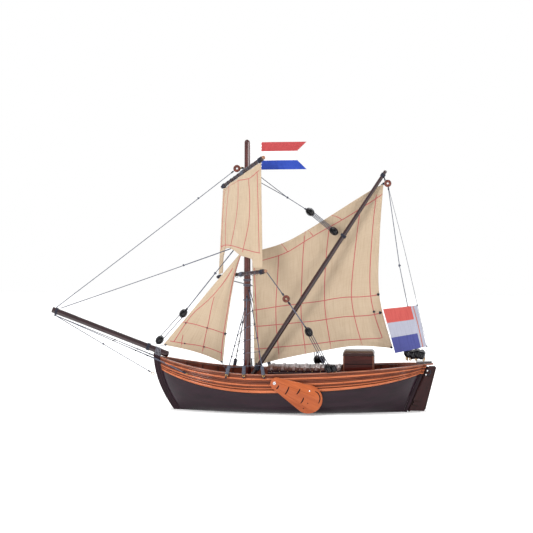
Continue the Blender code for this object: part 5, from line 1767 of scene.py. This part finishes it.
# ---- Putting it together ------------------------------------------------------------------------
def make_looks():
    return {
        "hull": wood("hull_stain", (0.019, 0.005, 0.012), (0.009, 0.002, 0.006), (1, 0, 0), 0.28,
                     0.30, 0.6, 0.3),
        "post": wood("post_stain", (0.026, 0.008, 0.015), (0.009, 0.003, 0.006), (0, 0, 1), 0.36,
                     0.10, 0.8, 0.5),
        "rudder": wood("rudder_stain", (0.036, 0.007, 0.007), (0.010, 0.002, 0.003), (0.4, 0, 1),
                       0.36, 0.18),
        "plank": wood("plank_cedar", (0.56, 0.165, 0.068), (0.37, 0.090, 0.032), (1, 0, 0), 0.40,
                      0.3, 0.9),
        # partly dark wood, partly painted shade below the proud light planks
        "wale": wood("plank_dark_and_shade", (0.195, 0.050, 0.023), (0.092, 0.022, 0.011), (1, 0, 0), 0.40,
                     0.3, 0.9),
        "rail": wood("rail_cedar", (0.36, 0.125, 0.066), (0.18, 0.052, 0.026), (1, 0, 0), 0.34,
                     0.4),
        "leeboard": wood("leeboard_cedar", (0.47, 0.115, 0.034), (0.32, 0.068, 0.018),
                         (0.9, 0, -0.43), 0.40, 0.3, 0.8),
        "brown": wood("brown_walnut", (0.095, 0.030, 0.020), (0.034, 0.011, 0.008), (0, 1, 0), 0.40,
                      0.25),
        "house": wood("house_walnut", (0.075, 0.010, 0.006), (0.012, 0.0015, 0.0015), (1, 0, 0),
                      0.30, 0.12),
        "roof": wood("roof_walnut", (0.046, 0.014, 0.012), (0.012, 0.004, 0.004), (1, 0, 0), 0.24,
                     0.35),
        # light grey that stands in for the highlight on the hatch battens
        "batten": wood("batten_highlight_grey", (0.23, 0.150, 0.140), (0.100, 0.060, 0.056), (0, 1, 0), 0.36,
                       0.35),
        "trim": wood("trim_cedar", (0.23, 0.080, 0.042), (0.10, 0.032, 0.018), (0, 0, 1), 0.4, 0.3),
        "deck": wood("deck_boards", (0.14, 0.048, 0.028), (0.055, 0.018, 0.011), (1, 0, 0), 0.5,
                     0.15),
        "ceiling": wood("ceiling_boards", (0.20, 0.050, 0.028), (0.080, 0.020, 0.012), (1, 0, 0),
                        0.42, 0.25),
        "spar": wood("spar_walnut", (0.034, 0.011, 0.014), (0.009, 0.003, 0.004), (1, 0, 0.4), 0.26,
                     0.9),
        "bowsprit": wood("bowsprit_walnut", (0.034, 0.011, 0.014), (0.009, 0.003, 0.004),
                         (-0.936, 0, 0.352), 0.26, 0.95),
        "sprit": wood("sprit_walnut", (0.038, 0.012, 0.014), (0.010, 0.003, 0.004),
                      (0.544, 0.012, 0.839), 0.20, 1.0),
        "yard": wood("yard_walnut", (0.036, 0.013, 0.015), (0.010, 0.004, 0.005),
                     (0.67, -0.62, 0.40), 0.28, 0.8),
        "mast": wood("mast_mahogany", (0.100, 0.016, 0.011), (0.024, 0.004, 0.004), (0, 0, 1), 0.22,
                     0.95, 0.8),
        "end_grain": wood("end_grain", (0.46, 0.26, 0.17), (0.25, 0.12, 0.07), (0, 0, 1), 0.6, 0.1,
                          3.0),
        # dark for grooves and joints, and as painted shade on the lower rudder hinge
        "groove": wood("groove_and_shade_dark", (0.020, 0.010, 0.009), (0.010, 0.005, 0.005), (1, 0, 0), 0.7,
                       0.0),
        "seam": wood("seam_brown", (0.26, 0.065, 0.022), (0.16, 0.035, 0.012), (1, 0, 0), 0.6, 0.0),
        "peg": wood("peg_brown", (0.19, 0.055, 0.024), (0.09, 0.024, 0.012), (0, 1, 0), 0.5, 0.1),
        "linen": cloth("sail_linen", (0.470, 0.368, 0.265), (0.410, 0.312, 0.218)),
        "red_cord": thread("red_cord", (0.46, 0.105, 0.105), (0.32, 0.060, 0.065)),
        "orange_cord": thread("orange_cord", (0.52, 0.16, 0.10), (0.36, 0.10, 0.07)),
        "dark_thread": thread("dark_thread", (0.035, 0.038, 0.056), (0.012, 0.012, 0.020)),
        "silver_thread": thread("silver_thread", (0.30, 0.31, 0.36), (0.13, 0.13, 0.17)),
        "rope": thread("grey_rope", (0.125, 0.137, 0.178), (0.048, 0.052, 0.072)),
        "fall_rope": thread("fall_rope", (0.085, 0.090, 0.120), (0.028, 0.030, 0.042)),
        "bolt_rope": thread("bolt_rope", (0.50, 0.37, 0.25), (0.36, 0.25, 0.16)),
        "flag_red": cloth("flag_red", (0.42, 0.062, 0.066), (0.35, 0.044, 0.050), 0.0005),
        "flag_white": cloth("flag_white", (0.90, 0.90, 0.92), (0.82, 0.82, 0.86), 0.0005),
        "flag_blue": cloth("flag_blue", (0.028, 0.064, 0.37), (0.020, 0.046, 0.30), 0.0005),
        "ensign_red": cloth("ensign_red", (0.48, 0.092, 0.082), (0.40, 0.066, 0.060), 0.0005),
        "ensign_white": cloth("ensign_white", (0.37, 0.38, 0.46), (0.31, 0.32, 0.40), 0.0005),
        "ensign_blue": cloth("ensign_blue", (0.066, 0.074, 0.245), (0.050, 0.056, 0.195), 0.0005),
        "block": lacquer("block_black", (0.002, 0.002, 0.003), (0.010, 0.010, 0.013), 0.16),
        "ring": lacquer("ring_maroon", (0.085, 0.018, 0.012), (0.19, 0.055, 0.035), 0.26),
        "brass": metal("brass", (0.52, 0.34, 0.14), (0.26, 0.15, 0.06), 0.28),
        "silver": metal("silver", (0.80, 0.80, 0.80), (0.50, 0.50, 0.52), 0.20),
    }


CAD_LOOKS = {
    "mast": "mast", "bowsprit": "bowsprit", "sprit": "sprit", "topsail_yard": "yard",
    "topsail_lower_yard": "yard", "stem_post": "post", "stern_post": "post", "rudder": "rudder",
    "taffrail": "spar", "deck": "deck", "deckhouse": "house",
    "hatch_coaming": "spar", "mast_step": "brown", "forward_bulkhead": "brown",
    # the lower rudder pin and eye take the dark groove colour as painted shade, as the lower hinge
    # is in shadow
    "after_bulkhead": "brown", "upper_rudder_pin": "silver", "lower_rudder_pin": "groove",
    "upper_rudder_eye": "brass", "lower_rudder_eye": "groove",
    "port_leeboard_pivot": "silver", "starboard_leeboard_pivot": "silver",
}
SOFTENED = {"rudder": 0.0007, "taffrail": 0.0006, "stem_post": 0.0005, "stern_post": 0.0004,
            "hatch_coaming": 0.0004, "deckhouse": 0.0003}


def dress_cad(look):
    """Looks for the frame's own nodes, and soft edges where SOFTENED gives them a width."""
    for name, key in CAD_LOOKS.items():
        part = NODES[name]
        part.data.materials.clear()
        part.data.materials.append(look[key])
        if name in SOFTENED:
            bevel = part.modifiers.new("soft_edges", "BEVEL")
            bevel.width = SOFTENED[name]
            bevel.segments = 2
            bevel.limit_method = "ANGLE"
            bevel.angle_limit = math.radians(50)
            bevel.harden_normals = False


def main():
    make_camera()
    make_studio()
    look = make_looks()
    dress_cad(look)
    for make in (make_lower_hull, make_strakes, make_rails, make_ceiling, make_sails, make_flags,
                 make_shrouds, make_masthead, make_head_stays, make_bow, make_braces,
                 make_peak_rigging, make_yard_lashings, make_staysail_ropes, make_leeboards,
                 make_rudder_stock, make_rudder_straps, make_rudder_trim, make_hatch,
                 make_house_trim, make_roof, make_deck_fittings):
        make(look)


main()
